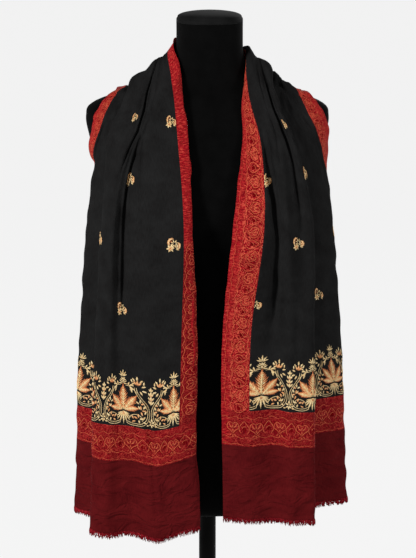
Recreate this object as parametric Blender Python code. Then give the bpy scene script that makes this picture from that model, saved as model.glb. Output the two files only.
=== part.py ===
"""Pashmina shawl hanging round the neck of a limbless dress form on a pole stand."""
import bpy
import bmesh
import math
import numpy as np

# ---- driving dimensions, metres; the floor is z = 0 and the form faces -Y ----
# The cloth is 0.700 wide, selvage to selvage, with a woven border 0.045 wide along each selvage.
END_BORDER = 0.057              # woven border across each end
PLAIN_END = 0.120               # plain dyed end below the end border
FRINGE_REACH = 0.008
WALL = 0.0012                   # wall that stands for the folded cloth
SEAM_GAP = 0.0004
FOLDED_SEAM_GAP = 0.0012        # where the seam behind the neck lies in a sharp fold
FRINGE_WALL = 0.0010
LAYER_STEP = 0.0048             # stand-off added by each layer of cloth underneath
LEAST_CLEARANCE = 0.0050        # least stand-off of any layer's middle
HALF_LENGTH = 0.920             # middle of the back to the end of the plain cloth
FOLD_ROLL = 0.0035              # radius of a soft fold edge
FOLD_SHARE = 1.5                # cloth taken up each side of a fold line, in rolls
FOLD_LAYER = 0.5                # a rolled edge's sides lie half a layer over and under its line
AXIS_DROP = 0.060               # a face that looks up counts as outward from this far below it

NAPE_HEIGHT = 1.262
COLLAR_HEIGHT = 1.130
CHEST_HEIGHT = 1.040
MID_HEIGHT = 0.800                  # on a side whose hem is at the height LOW_HEM
LOW_HEM = 0.503
MID_FOLLOW = 0.90                   # rise of the middle for each rise of the hem above that

POLE_RADIUS = 0.0138
POLE_FOOT = 0.014               # height of the pole's lower end
BASE_RADIUS = 0.170
BASE_THICKNESS = 0.006
BASE_CHAMFER = 0.001
BASE_BEVEL = 0.002
BASE_CROWN = 0.0015             # rise of the plate toward the boss
BASE_SEGMENTS = 64
BOSS_RADIUS = 0.026
BOSS_HEIGHT = 0.030
BOSS_FLARE = 0.010
BOSS_FILLET = 0.004
SOCKET_DEPTH = 0.120
FORM_EXPONENT = 2.2             # between an ellipse (2) and a box
FORM_SEGMENTS = 44
POLE_SEGMENTS = 36

# Sections up the form.  "middle": middle of the depth.  "lean": how far the neck stands to its left.
FORM_COLUMNS = ("height", "half_width", "half_depth", "middle", "lean")
FORM_SECTIONS = (
    (0.5090, 0.1380, 0.0830, 0.004, 0.0000),
    (0.5210, 0.1430, 0.0870, 0.004, 0.0000),
    (0.6000, 0.1500, 0.0920, 0.004, 0.0000),
    (0.6800, 0.1480, 0.0900, 0.003, 0.0000),
    (0.7800, 0.1330, 0.0830, 0.000, 0.0000),
    (0.8600, 0.1200, 0.0770, -0.004, 0.0000),
    (0.9400, 0.1270, 0.0830, -0.008, 0.0000),
    (1.0100, 0.1420, 0.0980, -0.012, 0.0000),
    (1.0500, 0.1520, 0.0960, -0.008, 0.0000),
    (1.0900, 0.1760, 0.0830, -0.001, 0.0000),
    (1.1200, 0.1860, 0.0740, 0.004, 0.0000),
    (1.1480, 0.1900, 0.0630, 0.008, 0.0000),
    (1.1620, 0.1860, 0.0520, 0.009, 0.0000),
    (1.1720, 0.1700, 0.0470, 0.009, 0.0000),
    (1.1810, 0.1440, 0.0450, 0.009, 0.0000),
    (1.1900, 0.1160, 0.0460, 0.008, 0.0000),
    (1.1995, 0.0870, 0.0480, 0.007, 0.0006),
    (1.2110, 0.0670, 0.0490, 0.005, 0.0018),
    (1.2270, 0.0565, 0.0500, 0.003, 0.0028),
    (1.2460, 0.0525, 0.0500, 0.001, 0.0034),
    (1.2740, 0.0515, 0.0500, 0.000, 0.0035),
    (1.2945, 0.0515, 0.0500, 0.000, 0.0035),
)
CAP_RISE = 0.016                # domed cap over the neck
CAP_COLUMNS = ("share_of_radius", "share_of_rise")
CAP_PROFILE = ((1.00, 0.00), (1.00, 0.19), (0.97, 0.39), (0.85, 0.63), (0.60, 0.86), (0.30, 0.98))

# Rows of points up the form: apart where it is plain, and close over the shoulders and neck.
PLAIN_ROW = 0.030
SHOULDER_ROW = 0.0085
SHOULDER_FOOT = 1.066
NECK_FOOT = 1.262
NECK_MIDDLE = 1.274
# Rounding round the form's lower edge: height above it, and how far the section draws in.
FORM_EDGE = ((0.000, 0.006), (0.004, 0.002), (0.012, 0.000), (0.035, 0.000))

# The fold across the middle of the back: place on the cloth, drop below the nape, stand-off.
BACK_FOLD = (
    (0.000, 0.000, 0.0060),
    (0.022, 0.010, 0.0120),
    (0.045, 0.026, 0.0180),
    (0.110, 0.085, 0.0250),
    (0.200, 0.172, 0.0175),
    (0.310, 0.112, 0.0100),
    (0.420, 0.052, 0.0070),
    (0.520, 0.112, 0.0040),
    (0.600, 0.172, 0.0050),
    (0.655, 0.210, 0.0050),
    (0.700, 0.250, 0.0075),
)

# One row for each line that runs the length of the cloth, a fold's crest, trough or edge.
# "back", "ridge" and "end": the line's place on the flat cloth, measured from the inner selvage.
# "turn": 1 where the cloth folds back on itself.  "under": layers of cloth between it and the form.
# "lift": how far it stands off the form at the throat.  "bow": how far it swings outward between the
# shoulder's ridge and the collar.  x is outward, y is toward the back.
LINE_COLUMNS = ("name", "turn", "under", "back", "ridge", "end", "lift", "ridge_x", "ridge_z", "bow",
                "collar_x", "chest_x", "chest_y", "mid_x", "mid_y", "hem_x", "hem_y", "hem_z")
LEFT_LINES = (
    ("inner_edge", 0, -0.1, 0.000, 0.000, 0.000, 0.0060, 0.0500, 1.2660, -0.0080,
     0.0430, 0.0350, -0.1150, 0.0150, -0.1235, 0.0110, -0.1285, 0.5115),
    ("edge_roll", 0, 0, 0.022, 0.026, 0.012, 0.0120, 0.0545, 1.2600, -0.0020,
     0.0302, 0.0230, -0.1240, 0.0120, -0.1290, 0.0200, -0.1310, 0.5105),
    ("inner_seam", 0, 0, 0.045, 0.045, 0.045, 0.0180, 0.0605, 1.2490, -0.0010,
     0.0458, 0.0375, -0.1300, 0.0405, -0.1340, 0.0500, -0.1350, 0.5030),
    ("inner_crest", 0, 1, 0.080, 0.090, 0.095, 0.0200, 0.0690, 1.2405, 0.0000,
     0.0860, 0.0850, -0.1300, 0.0860, -0.1340, 0.0800, -0.1370, 0.4950),
    ("main_trough", 0, 2, 0.115, 0.135, 0.135, 0.0150, 0.0790, 1.2350, 0.0000,
     0.1065, 0.1240, -0.1060, 0.1270, -0.1235, 0.1240, -0.1180, 0.5000),
    ("outer_crest", 0, 2, 0.155, 0.170, 0.170, 0.0200, 0.0950, 1.2225, 0.0000,
     0.1210, 0.1380, -0.1130, 0.1500, -0.1260, 0.1600, -0.1330, 0.5020),
    ("front_fold", 1, 1.5, 0.200, 0.225, 0.203, 0.0160, 0.1170, 1.2030, 0.0000,
     0.1520, 0.1590, -0.0890, 0.1747, -0.1130, 0.1860, -0.1170, 0.5050),
    ("under_middle", 0, 1, 0.310, 0.330, 0.280, 0.0085, 0.1020, 1.2065, 0.0000,
     0.1250, 0.1200, -0.0930, 0.1150, -0.1120, 0.1150, -0.1160, 0.5060),
    ("under_fold", 1, 0.5, 0.420, 0.430, 0.353, 0.0065, 0.0900, 1.2085, 0.0000,
     0.0700, 0.0600, -0.1120, 0.0420, -0.1080, 0.0320, -0.1120, 0.5080),
    ("rear_middle", 0, 0.2, 0.520, 0.520, 0.430, 0.0038, 0.1020, 1.2000, 0.0000,
     0.1180, 0.1180, -0.0850, 0.1120, -0.0900, 0.1120, -0.0830, 0.5060),
    ("rear_outer", 0, 0.2, 0.600, 0.600, 0.500, 0.0038, 0.1150, 1.1960, 0.0000,
     0.1480, 0.1560, -0.0560, 0.1670, -0.0560, 0.1760, -0.0440, 0.5010),
    ("side_turn", 0, 0, 0.640, 0.640, 0.562, 0.0038, 0.1240, 1.1960, 0.0000,
     0.1610, 0.1810, -0.0250, 0.2032, -0.0150, 0.2178, -0.0050, 0.4995),
    ("outer_seam", 0, 0.5, 0.655, 0.655, 0.655, 0.0045, 0.1296, 1.1940, 0.0060,
     0.1650, 0.1825, -0.0070, 0.1950, 0.0500, 0.2000, 0.0740, 0.5030),
    ("outer_edge", 0, 0.5, 0.700, 0.700, 0.700, 0.0060, 0.1425, 1.1875, 0.0110,
     0.1775, 0.1750, 0.0240, 0.1760, 0.0780, 0.1780, 0.1120, 0.5080),
)
RIGHT_LINES = (
    ("inner_edge", 0, 0, 0.000, 0.000, 0.000, 0.0060, 0.0620, 1.2220, -0.0050,
     0.0542, 0.0442, -0.1170, 0.0233, -0.1240, 0.0249, -0.1260, 0.5275),
    ("edge_middle", 0, -0.1, 0.022, 0.022, 0.022, 0.0110, 0.0595, 1.2350, -0.0040,
     0.0630, 0.0640, -0.1270, 0.0440, -0.1310, 0.0455, -0.1310, 0.5275),
    ("inner_seam", 0, 0, 0.045, 0.045, 0.045, 0.0185, 0.0585, 1.2490, -0.0055,
     0.0791, 0.0868, -0.1260, 0.0664, -0.1340, 0.0680, -0.1340, 0.5260),
    ("inner_trough", 0, 1, 0.064, 0.062, 0.090, 0.0200, 0.0635, 1.2550, -0.0030,
     0.0905, 0.1010, -0.1150, 0.1045, -0.1220, 0.1060, -0.1250, 0.5250),
    ("inner_crest", 0, 2, 0.115, 0.095, 0.118, 0.0200, 0.0735, 1.2415, -0.0030,
     0.1070, 0.1180, -0.1180, 0.1300, -0.1310, 0.1340, -0.1310, 0.5230),
    ("pleat_trough", 0, 2, 0.155, 0.122, 0.136, 0.0185, 0.0810, 1.2345, -0.0030,
     0.1210, 0.1350, -0.1040, 0.1480, -0.1270, 0.1520, -0.1270, 0.5220),
    ("front_fold", 1, 1.5, 0.200, 0.150, 0.155, 0.0190, 0.0960, 1.2220, -0.0030,
     0.1305, 0.1550, -0.0960, 0.1655, -0.1160, 0.1705, -0.1170, 0.5200),
    ("under_middle", 0, 1, 0.310, 0.245, 0.235, 0.0115, 0.0865, 1.2185, 0.0000,
     0.1050, 0.1200, -0.0940, 0.1100, -0.1130, 0.1080, -0.1160, 0.5210),
    ("under_fold", 1, 0.5, 0.420, 0.360, 0.316, 0.0075, 0.0790, 1.2125, 0.0000,
     0.0740, 0.0640, -0.1080, 0.0440, -0.1080, 0.0420, -0.1110, 0.5230),
    ("rear_middle", 0, 0.2, 0.520, 0.470, 0.390, 0.0050, 0.1030, 1.2190, 0.0000,
     0.1220, 0.1240, -0.0810, 0.1120, -0.0880, 0.1080, -0.0830, 0.5230),
    ("rear_outer", 0, 0.2, 0.600, 0.570, 0.470, 0.0070, 0.1140, 1.2080, 0.0000,
     0.1470, 0.1640, -0.0560, 0.1730, -0.0540, 0.1780, -0.0400, 0.5190),
    ("side_turn", 0, 0, 0.640, 0.630, 0.531, 0.0065, 0.1250, 1.2005, 0.0000,
     0.1600, 0.1860, -0.0320, 0.2105, -0.0140, 0.2290, -0.0020, 0.5150),
    ("outer_seam", 0, 0.5, 0.655, 0.655, 0.655, 0.0060, 0.1320, 1.1960, 0.0020,
     0.1677, 0.1900, -0.0180, 0.1960, 0.0600, 0.1930, 0.0960, 0.5160),
    ("outer_edge", 0, 0.5, 0.700, 0.700, 0.700, 0.0060, 0.1490, 1.1875, 0.0090,
     0.1875, 0.1880, 0.0180, 0.1740, 0.0960, 0.1650, 0.1280, 0.5190),
)

# Stations along a line: shares of the way from the middle of the back to the shoulder's ridge, of the
# way from the ridge to the collar, and shares of the half length at the ridge and below it.
BACK_STATIONS = (-0.30, 0.0, 0.30, 0.58, 0.82)
THROAT_STATIONS = (0.30, 0.62)
SHOULDER_EASE = 0.020                               # extra stand-off for each layer underneath
SAG_POWER = 2.1                                     # shape of the swag across the back
RIDGE_DEPTH = 0.006                                 # y of the shoulder's ridge
RIDGE_SHARE = 0.16
COLLAR_SHARE = 0.315
CHEST_SHARE = 0.42
MID_SHARE = 0.682
STATION_SHARES = tuple(
    [share * RIDGE_SHARE for share in BACK_STATIONS] + [RIDGE_SHARE]
    + [RIDGE_SHARE + share * (COLLAR_SHARE - RIDGE_SHARE) for share in THROAT_STATIONS]
    + [COLLAR_SHARE, CHEST_SHARE, MID_SHARE, 1.0])

# Stretches along the cloth, cells of the walls in each.
BACK_STEPS = 12                 # middle of the back to the shoulder's ridge
COLLAR_STEPS = 5
CHEST_STEPS = 3
FRONT_STEPS = 6                 # chest to the end border
END_BORDER_STEPS = 2
PLAIN_STEPS = 3
# Cells across the cloth in each gap between its knots: lines, and the two ends of each turn.
COLUMN_CELLS = (1, 1, 2, 2, 2, 2, 1, 1, 2, 2, 1, 1, 3, 3, 2, 1, 2)
SEAM_COLUMNS = (2, 16)          # knots on which the side borders are joined


def clear_scene():
    for item in list(bpy.data.objects):
        bpy.data.objects.remove(item, do_unlink=True)


def make_material(name, colour, roughness, metallic=0.0, sheen=0.0):
    material = bpy.data.materials.new(name)
    material.use_nodes = True
    shader = material.node_tree.nodes["Principled BSDF"]
    shader.inputs["Base Color"].default_value = (*colour, 1.0)
    shader.inputs["Roughness"].default_value = roughness
    shader.inputs["Metallic"].default_value = metallic
    shader.inputs["Sheen Weight"].default_value = sheen
    return material


def add_mesh(name, vertices, faces, material):
    """A named object from points and evenly wound faces, turned so that they face out."""
    mesh = bpy.data.meshes.new(name)
    mesh.from_pydata([tuple(map(float, v)) for v in vertices], [], faces)
    work = bmesh.new()
    work.from_mesh(mesh)
    if work.calc_volume(signed=True) < 0:
        bmesh.ops.reverse_faces(work, faces=work.faces)
    work.to_mesh(mesh)
    work.free()
    mesh.shade_smooth()
    mesh.set_sharp_from_angle(angle=math.radians(50))
    mesh.materials.append(material)
    item = bpy.data.objects.new(name, mesh)
    bpy.context.scene.collection.objects.link(item)
    return item


# ---- curves -------------------------------------------------------------------------------

def smooth_curve(knots, values, places):
    """Hermite curve through values at knots, with slopes limited so that it never overshoots."""
    knots = np.asarray(knots, float)
    values = np.asarray(values, float)
    widths = np.diff(knots)
    slopes = np.diff(values, axis=0) / widths[:, None]
    tangents = np.zeros_like(values)
    tangents[0] = slopes[0]
    tangents[-1] = slopes[-1]
    before, after = slopes[:-1], slopes[1:]
    wide = (2 * widths[1:] + widths[:-1])[:, None]
    narrow = (widths[1:] + 2 * widths[:-1])[:, None]
    agree = before * after > 0
    safe_before = np.where(agree, before, 1.0)
    safe_after = np.where(agree, after, 1.0)
    mean = (wide + narrow) / (wide / safe_before + narrow / safe_after)
    tangents[1:-1] = np.where(agree, mean, 0.0)
    return hermite(knots, values, tangents, places)


def free_curve(knots, values, places):
    """Hermite curve through values at knots, with the slopes of a natural bend."""
    knots = np.asarray(knots, float)
    values = np.asarray(values, float)
    widths = np.diff(knots)[:, None]
    slopes = np.diff(values, axis=0) / widths
    tangents = np.zeros_like(values)
    tangents[0] = slopes[0]
    tangents[-1] = slopes[-1]
    tangents[1:-1] = (slopes[:-1] * widths[1:] + slopes[1:] * widths[:-1]) / (widths[1:] + widths[:-1])
    return hermite(knots, values, tangents, places)


def hermite(knots, values, tangents, places):
    places = np.clip(np.asarray(places, float), knots[0], knots[-1])
    cell = np.clip(np.searchsorted(knots, places, side="right") - 1, 0, len(knots) - 2)
    width = (knots[cell + 1] - knots[cell])[:, None]
    t = (places - knots[cell])[:, None] / width
    start = (2 * t ** 3 - 3 * t ** 2 + 1) * values[cell]
    leave = (t ** 3 - 2 * t ** 2 + t) * width * tangents[cell]
    finish = (3 * t ** 2 - 2 * t ** 3) * values[cell + 1]
    arrive = (t ** 3 - t ** 2) * width * tangents[cell + 1]
    return start + leave + finish + arrive


# ---- dress form ---------------------------------------------------------------------------

FORM_TABLE = np.array(FORM_SECTIONS)


def form_section(height):
    return free_curve(FORM_TABLE[:, 0], FORM_TABLE[:, 1:], np.atleast_1d(height))[0]


def form_depth(x, height, toward_back, stand_off=0.0):
    """The y of a surface that stands off the form, front or back, at a place x and a height."""
    half_width, half_depth, middle, _ = form_section(height)
    across = min(abs(x) / (half_width + stand_off), 1.0)
    reach = (half_depth + stand_off) * (1.0 - across ** FORM_EXPONENT) ** (1.0 / FORM_EXPONENT)
    return middle + reach if toward_back else middle - reach


def form_clearance(points):
    """Distance from the form's surface, and the way out of it, for each point; roughly, near it."""
    step = 0.0005

    def reach(places):
        sections = free_curve(FORM_TABLE[:, 0], FORM_TABLE[:, 1:], places[:, 2])
        x = places[:, 0] - sections[:, 3]
        y = places[:, 1] - sections[:, 2]
        ratio = (np.abs(x / sections[:, 0]) ** FORM_EXPONENT
                 + np.abs(y / sections[:, 1]) ** FORM_EXPONENT) ** (1.0 / FORM_EXPONENT)
        return (1.0 - 1.0 / np.maximum(ratio, 0.05)) * np.hypot(x, y)

    here = reach(points)
    slope = np.stack([(reach(points + step * axis) - here) / step for axis in np.eye(3)], axis=1)
    steep = np.maximum(np.linalg.norm(slope, axis=1), 0.3)
    return here / steep, slope / steep[:, None]


def hold_clear(points, clearance):
    """Points moved straight out of the form until they clear it."""
    points = points.copy()
    for _ in range(4):
        distance, way = form_clearance(points)
        points += way * np.maximum(clearance - distance, 0.0)[:, None]
    return points


def form_ring(height, shrink=0.0):
    half_width, half_depth, middle, lean = form_section(height)
    ring = []
    for step in range(FORM_SEGMENTS):
        angle = 2 * math.pi * step / FORM_SEGMENTS
        c, s = math.cos(angle), math.sin(angle)
        power = 2.0 / FORM_EXPONENT
        x = (half_width - shrink) * math.copysign(abs(c) ** power, c)
        y = (half_depth - shrink) * math.copysign(abs(s) ** power, s)
        ring.append((x + lean, y + middle, height))
    return ring


def skin_rings(rings, close_first=True, close_last=True):
    """Vertices and faces of a stack of rings with the same number of points."""
    count = len(rings[0])
    vertices = [point for ring in rings for point in ring]
    faces = []
    for row in range(len(rings) - 1):
        for step in range(count):
            nxt = (step + 1) % count
            a, b = row * count + step, row * count + nxt
            faces.append((a, b, b + count, a + count))
    if close_first:
        faces.append(tuple(reversed(range(count))))
    if close_last:
        last = (len(rings) - 1) * count
        faces.append(tuple(range(last, last + count)))
    return vertices, faces


def build_form(cover_black, pole_steel):
    low, top = FORM_TABLE[0, 0], FORM_TABLE[-1, 0]
    rings = [form_ring(low + rise, draw_in) for rise, draw_in in FORM_EDGE]
    heights = list(np.arange(low + FORM_EDGE[-1][0] + PLAIN_ROW, SHOULDER_FOOT, PLAIN_ROW))
    heights += list(np.arange(SHOULDER_FOOT, NECK_FOOT, SHOULDER_ROW)) + [NECK_MIDDLE, top]
    rings += [form_ring(height) for height in heights]
    socket = []
    hole = POLE_RADIUS + SEAM_GAP
    for height in (low + SOCKET_DEPTH, low):
        ring = [(hole * math.cos(2 * math.pi * k / FORM_SEGMENTS),
                 hole * math.sin(2 * math.pi * k / FORM_SEGMENTS), height)
                for k in range(FORM_SEGMENTS)]
        socket.append(ring)
    vertices, faces = skin_rings(socket + rings)
    add_mesh("form_torso", vertices, faces, cover_black)

    cap_rings = []
    half_width, half_depth, middle, lean = form_section(top)
    for share, rise in CAP_PROFILE:
        ring = []
        for step in range(FORM_SEGMENTS):
            angle = 2 * math.pi * step / FORM_SEGMENTS
            ring.append((half_width * share * math.cos(angle) + lean,
                         half_depth * share * math.sin(angle) + middle,
                         top + SEAM_GAP + rise * CAP_RISE))
        cap_rings.append(ring)
    vertices, faces = skin_rings(cap_rings)
    add_mesh("form_neck_cap", vertices, faces, cover_black)

    bpy.ops.mesh.primitive_cylinder_add(vertices=POLE_SEGMENTS, radius=POLE_RADIUS, depth=1.0)
    pole = bpy.context.object
    pole.name = "stand_pole"
    pole_top = low + SOCKET_DEPTH - SEAM_GAP
    pole.scale = (1, 1, pole_top - POLE_FOOT)
    pole.location = (0, 0, (pole_top + POLE_FOOT) / 2)
    bpy.ops.object.transform_apply(location=False, rotation=False, scale=True)
    pole.data.materials.append(pole_steel)
    pole.data.shade_smooth()
    pole.data.set_sharp_from_angle(angle=math.radians(50))

    build_base(pole_steel)


def build_base(pole_steel):
    """Round base plate with a boss whose blind bore takes the pole."""
    bore = POLE_RADIUS + SEAM_GAP
    boss_top = BASE_THICKNESS + BOSS_HEIGHT
    profile = (
        (0.0, BASE_RADIUS - BASE_CHAMFER),
        (BASE_CHAMFER, BASE_RADIUS),
        (BASE_THICKNESS - BASE_BEVEL, BASE_RADIUS),
        (BASE_THICKNESS, BASE_RADIUS - BASE_BEVEL),
        (BASE_THICKNESS + BASE_CROWN, BOSS_RADIUS + BOSS_FLARE),
        (BASE_THICKNESS + BOSS_FILLET, BOSS_RADIUS),
        (boss_top - BASE_BEVEL, BOSS_RADIUS),
        (boss_top, BOSS_RADIUS - BASE_BEVEL),
        (boss_top, bore),
        (POLE_FOOT - SEAM_GAP, bore),
    )
    rings = [[(r * math.cos(2 * math.pi * k / BASE_SEGMENTS),
               r * math.sin(2 * math.pi * k / BASE_SEGMENTS), z)
              for k in range(BASE_SEGMENTS)] for z, r in profile]
    vertices, faces = skin_rings(rings)
    add_mesh("stand_base", vertices, faces, pole_steel)


# ---- shawl --------------------------------------------------------------------------------

def back_place(place):
    """Point on the middle of the back for a place across the cloth."""
    table = np.array(BACK_FOLD)
    drop, lift = smooth_curve(table[:, 0], table[:, 1:], [place])[0]
    height = NAPE_HEIGHT - drop
    return np.array([0.0, form_depth(0.0, height, True) + lift, height])


def line_path(row):
    """Points of one long line of the cloth, from the middle of the back to the hem."""
    line = dict(zip(LINE_COLUMNS, row))
    middle = back_place(line["back"])
    ridge_x, ridge_z, lift = line["ridge_x"], line["ridge_z"], line["lift"]
    back_lift = middle[1] - form_depth(0.0, middle[2], True)
    ease = SHOULDER_EASE * line["under"]
    points = []
    for share in BACK_STATIONS:
        x = share * ridge_x
        z = middle[2] + (ridge_z - middle[2]) * abs(share) ** SAG_POWER
        stand_off = back_lift + (lift - back_lift) * abs(share) + ease * abs(share) * (1.0 - abs(share))
        points.append((x, form_depth(x, z, True, stand_off), z))
    points.append((ridge_x, RIDGE_DEPTH, ridge_z))
    for share in THROAT_STATIONS:
        x = ridge_x + (line["collar_x"] - ridge_x) * share + 4 * line["bow"] * share * (1.0 - share)
        z = ridge_z + (COLLAR_HEIGHT - ridge_z) * share
        stand_off = lift + ease * share * (1.0 - share)
        points.append((x, form_depth(x, z, False, stand_off), z))
    collar_y = form_depth(line["collar_x"], COLLAR_HEIGHT, False, lift)
    points.append((line["collar_x"], collar_y, COLLAR_HEIGHT))
    points.append((line["chest_x"], line["chest_y"], CHEST_HEIGHT))
    mid_z = MID_HEIGHT + MID_FOLLOW * (line["hem_z"] - LOW_HEM)
    points.append((line["mid_x"], line["mid_y"], mid_z))
    points.append((line["hem_x"], line["hem_y"], line["hem_z"]))
    return np.array(points)


def sample_line(row, shares):
    """Places along a line; its stations fall at the same shares of the length as on its neighbours."""
    return free_curve(STATION_SHARES, line_path(row), shares)


def line_place(row, shares):
    """Where a line lies on the flat cloth, drifting from the back over the shoulder to the end."""
    line = dict(zip(LINE_COLUMNS, row))
    places = [[line["back"]], [line["ridge"]], [line["end"]]]
    return smooth_curve((0.0, RIDGE_SHARE, 1.0), places, shares)[:, 0]


def outward(point):
    """Rough way out of the form, used to tell the face of the cloth from its back."""
    return point - np.array([0.0, 0.0, point[2] - AXIS_DROP])


def unit(vector):
    return vector / max(np.linalg.norm(vector), 1e-9)


def cross_sections(lines, shares):
    """For each share of the length: places on the cloth and points, with the fold edges rolled."""
    paths = np.stack([sample_line(row, shares) for row in lines])
    places = np.stack([line_place(row, shares) for row in lines])
    ahead = np.gradient(paths, axis=1)
    sections = []
    for station in range(len(shares)):
        knots, points, layers = [], [], []
        for index, row in enumerate(lines):
            here = paths[index, station]
            place = places[index, station]
            under = row[LINE_COLUMNS.index("under")]
            if not row[1]:
                knots.append(place)
                points.append(here)
                layers.append(under)
                continue
            before = unit(paths[index - 1, station] - here)
            after = unit(paths[index + 1, station] - here)
            face = unit(np.cross(unit(ahead[index, station]), unit(before + after)))
            if face.dot(outward(here)) < 0:
                face = -face
            knots += [place - FOLD_SHARE * FOLD_ROLL, place, place + FOLD_SHARE * FOLD_ROLL]
            points += [here + FOLD_ROLL * (before + face), here, here + FOLD_ROLL * (after - face)]
            layers += [under + FOLD_LAYER, under, under - FOLD_LAYER]
        stand_off = LEAST_CLEARANCE + LAYER_STEP * np.array(layers)
        sections.append((np.array(knots), np.array(points), stand_off))
    return sections


def column_places(knots):
    """Places across the cloth, each gap between two knots divided into even cells."""
    places = []
    for index, cells in enumerate(COLUMN_CELLS):
        places += list(np.linspace(knots[index], knots[index + 1], cells, endpoint=False))
    return np.array(places + [knots[-1]])


def lay_half(lines, side, shares):
    """Grid of points over one half of the cloth; rows run along it and columns across it."""
    grid = []
    for knots, points, clear in cross_sections(lines, shares):
        places = column_places(knots)
        row = smooth_curve(knots, points, places) * np.array([side, 1.0, 1.0])
        least = smooth_curve(knots, clear[:, None], places)[:, 0]
        grid.append(hold_clear(row, least))
    return np.array(grid)


def face_normals(grid):
    """Way out of the cloth's face at each point: the even mean of the cells round it."""
    one = np.cross(grid[1:, 1:] - grid[:-1, :-1], grid[:-1, 1:] - grid[1:, :-1])
    one = one / np.maximum(np.linalg.norm(one, axis=2, keepdims=True), 1e-12)
    total = np.zeros_like(grid)
    for rows in (slice(0, -1), slice(1, None)):
        for columns in (slice(0, -1), slice(1, None)):
            total[rows, columns] += one
    return total / np.maximum(np.linalg.norm(total, axis=2, keepdims=True), 1e-12)


def pull_in(block, distance, axis, at_end):
    """Move one edge of a block of points inward, for the gap at a seam."""
    block = block.copy()
    edge, inner = (-1, -2) if at_end else (0, 1)
    index = [slice(None)] * 3
    index[axis] = edge
    near = [slice(None)] * 3
    near[axis] = inner
    step = block[tuple(near)] - block[tuple(index)]
    size = np.maximum(np.linalg.norm(step, axis=1, keepdims=True), 1e-9)
    block[tuple(index)] += step / size * distance
    return block


def wall_piece(name, grid, normals, rows, columns, material, wall=WALL, free=(), gap=SEAM_GAP):
    """A closed wall over part of the cloth; edges named in free keep their full reach."""
    part = (slice(rows[0], rows[1] + 1), slice(columns[0], columns[1] + 1))
    block, out = grid[part], normals[part]
    for edge, axis, at_end in (("top", 0, False), ("bottom", 0, True),
                               ("inner", 1, False), ("outer", 1, True)):
        if edge not in free:
            block = pull_in(block, gap / 2, axis, at_end)
    face = block + out * wall / 2
    back = block - out * wall / 2
    high, wide = block.shape[:2]
    vertices = np.concatenate((face.reshape(-1, 3), back.reshape(-1, 3)))
    shift = high * wide
    faces = []
    for r in range(high - 1):
        for c in range(wide - 1):
            a, b = r * wide + c, r * wide + c + 1
            faces.append((a, b, b + wide, a + wide))
            faces.append((a + shift, a + wide + shift, b + wide + shift, b + shift))
    rim = [c for c in range(wide)]
    rim += [r * wide + wide - 1 for r in range(1, high)]
    rim += [(high - 1) * wide + c for c in range(wide - 2, -1, -1)]
    rim += [r * wide for r in range(high - 2, 0, -1)]
    for index, a in enumerate(rim):
        b = rim[(index + 1) % len(rim)]
        faces.append((a, a + shift, b + shift, b))
    return add_mesh(name, vertices, faces, material)


def build_shawl(field_black, border_red, plain_maroon):
    band_top = 1.0 - (END_BORDER + PLAIN_END) / HALF_LENGTH
    plain_top = 1.0 - PLAIN_END / HALF_LENGTH
    shares = np.concatenate((
        np.linspace(0.0, RIDGE_SHARE, BACK_STEPS, endpoint=False),
        np.linspace(RIDGE_SHARE, COLLAR_SHARE, COLLAR_STEPS, endpoint=False),
        np.linspace(COLLAR_SHARE, CHEST_SHARE, CHEST_STEPS, endpoint=False),
        np.linspace(CHEST_SHARE, band_top, FRONT_STEPS, endpoint=False),
        np.linspace(band_top, plain_top, END_BORDER_STEPS, endpoint=False),
        np.linspace(plain_top, 1.0, PLAIN_STEPS + 1),
    ))
    left = lay_half(LEFT_LINES, -1, shares)
    right = lay_half(RIGHT_LINES, 1, shares)
    left[0] = right[0] = (left[0] + right[0]) / 2
    whole = np.concatenate((fringe_row(left)[None], left[:0:-1], right, fringe_row(right)[None]))
    normals = face_normals(whole)

    column = np.concatenate(([0], np.cumsum(COLUMN_CELLS)))
    inner, outer = int(column[SEAM_COLUMNS[0]]), int(column[SEAM_COLUMNS[1]])
    last = int(column[-1])
    middle = len(left)                      # the row across the middle of the back
    shoulder = BACK_STEPS
    band = shoulder + COLLAR_STEPS + CHEST_STEPS + FRONT_STEPS
    plain = band + END_BORDER_STEPS
    hem = plain + PLAIN_STEPS
    tip = hem + 1

    def piece(name, near, far, first, final, material, **options):
        """A wall between two rows counted from the middle of the back, on each side."""
        for side, sign in (("left", -1), ("right", 1)):
            rows = sorted((middle + sign * near, middle + sign * far))
            open_edges = options.get("free", ())
            if sign < 0:
                swap = {"bottom": "top", "top": "bottom"}
                open_edges = tuple(swap.get(edge, edge) for edge in open_edges)
            wall_piece(f"{name}_{side}", whole, normals, rows, (first, final), material,
                       wall=options.get("wall", WALL), free=open_edges)

    piece("inner_border", shoulder, plain, 0, inner, border_red, free=("inner",))
    piece("field", shoulder, band, inner, outer, field_black)
    piece("outer_border", shoulder, plain, outer, last, border_red, free=("outer",))
    piece("end_border", band, plain, inner, outer, border_red)
    piece("plain_end", plain, hem, 0, last, plain_maroon, free=("inner", "outer"))
    piece("fringe", hem, tip, 0, last, plain_maroon, wall=FRINGE_WALL, free=("inner", "outer", "bottom"))

    rows = (middle - shoulder, middle + shoulder)
    wall_piece("inner_border_back", whole, normals, rows, (0, inner), border_red, free=("inner",),
               gap=FOLDED_SEAM_GAP)
    wall_piece("field_back", whole, normals, rows, (inner, outer), field_black)
    wall_piece("outer_border_back", whole, normals, rows, (outer, last), border_red, free=("outer",))


def fringe_row(half):
    """The reach of the fringe, straight on from the hem of one half."""
    step = half[-1] - half[-2]
    return half[-1] + step / np.linalg.norm(step, axis=1, keepdims=True) * FRINGE_REACH


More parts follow.
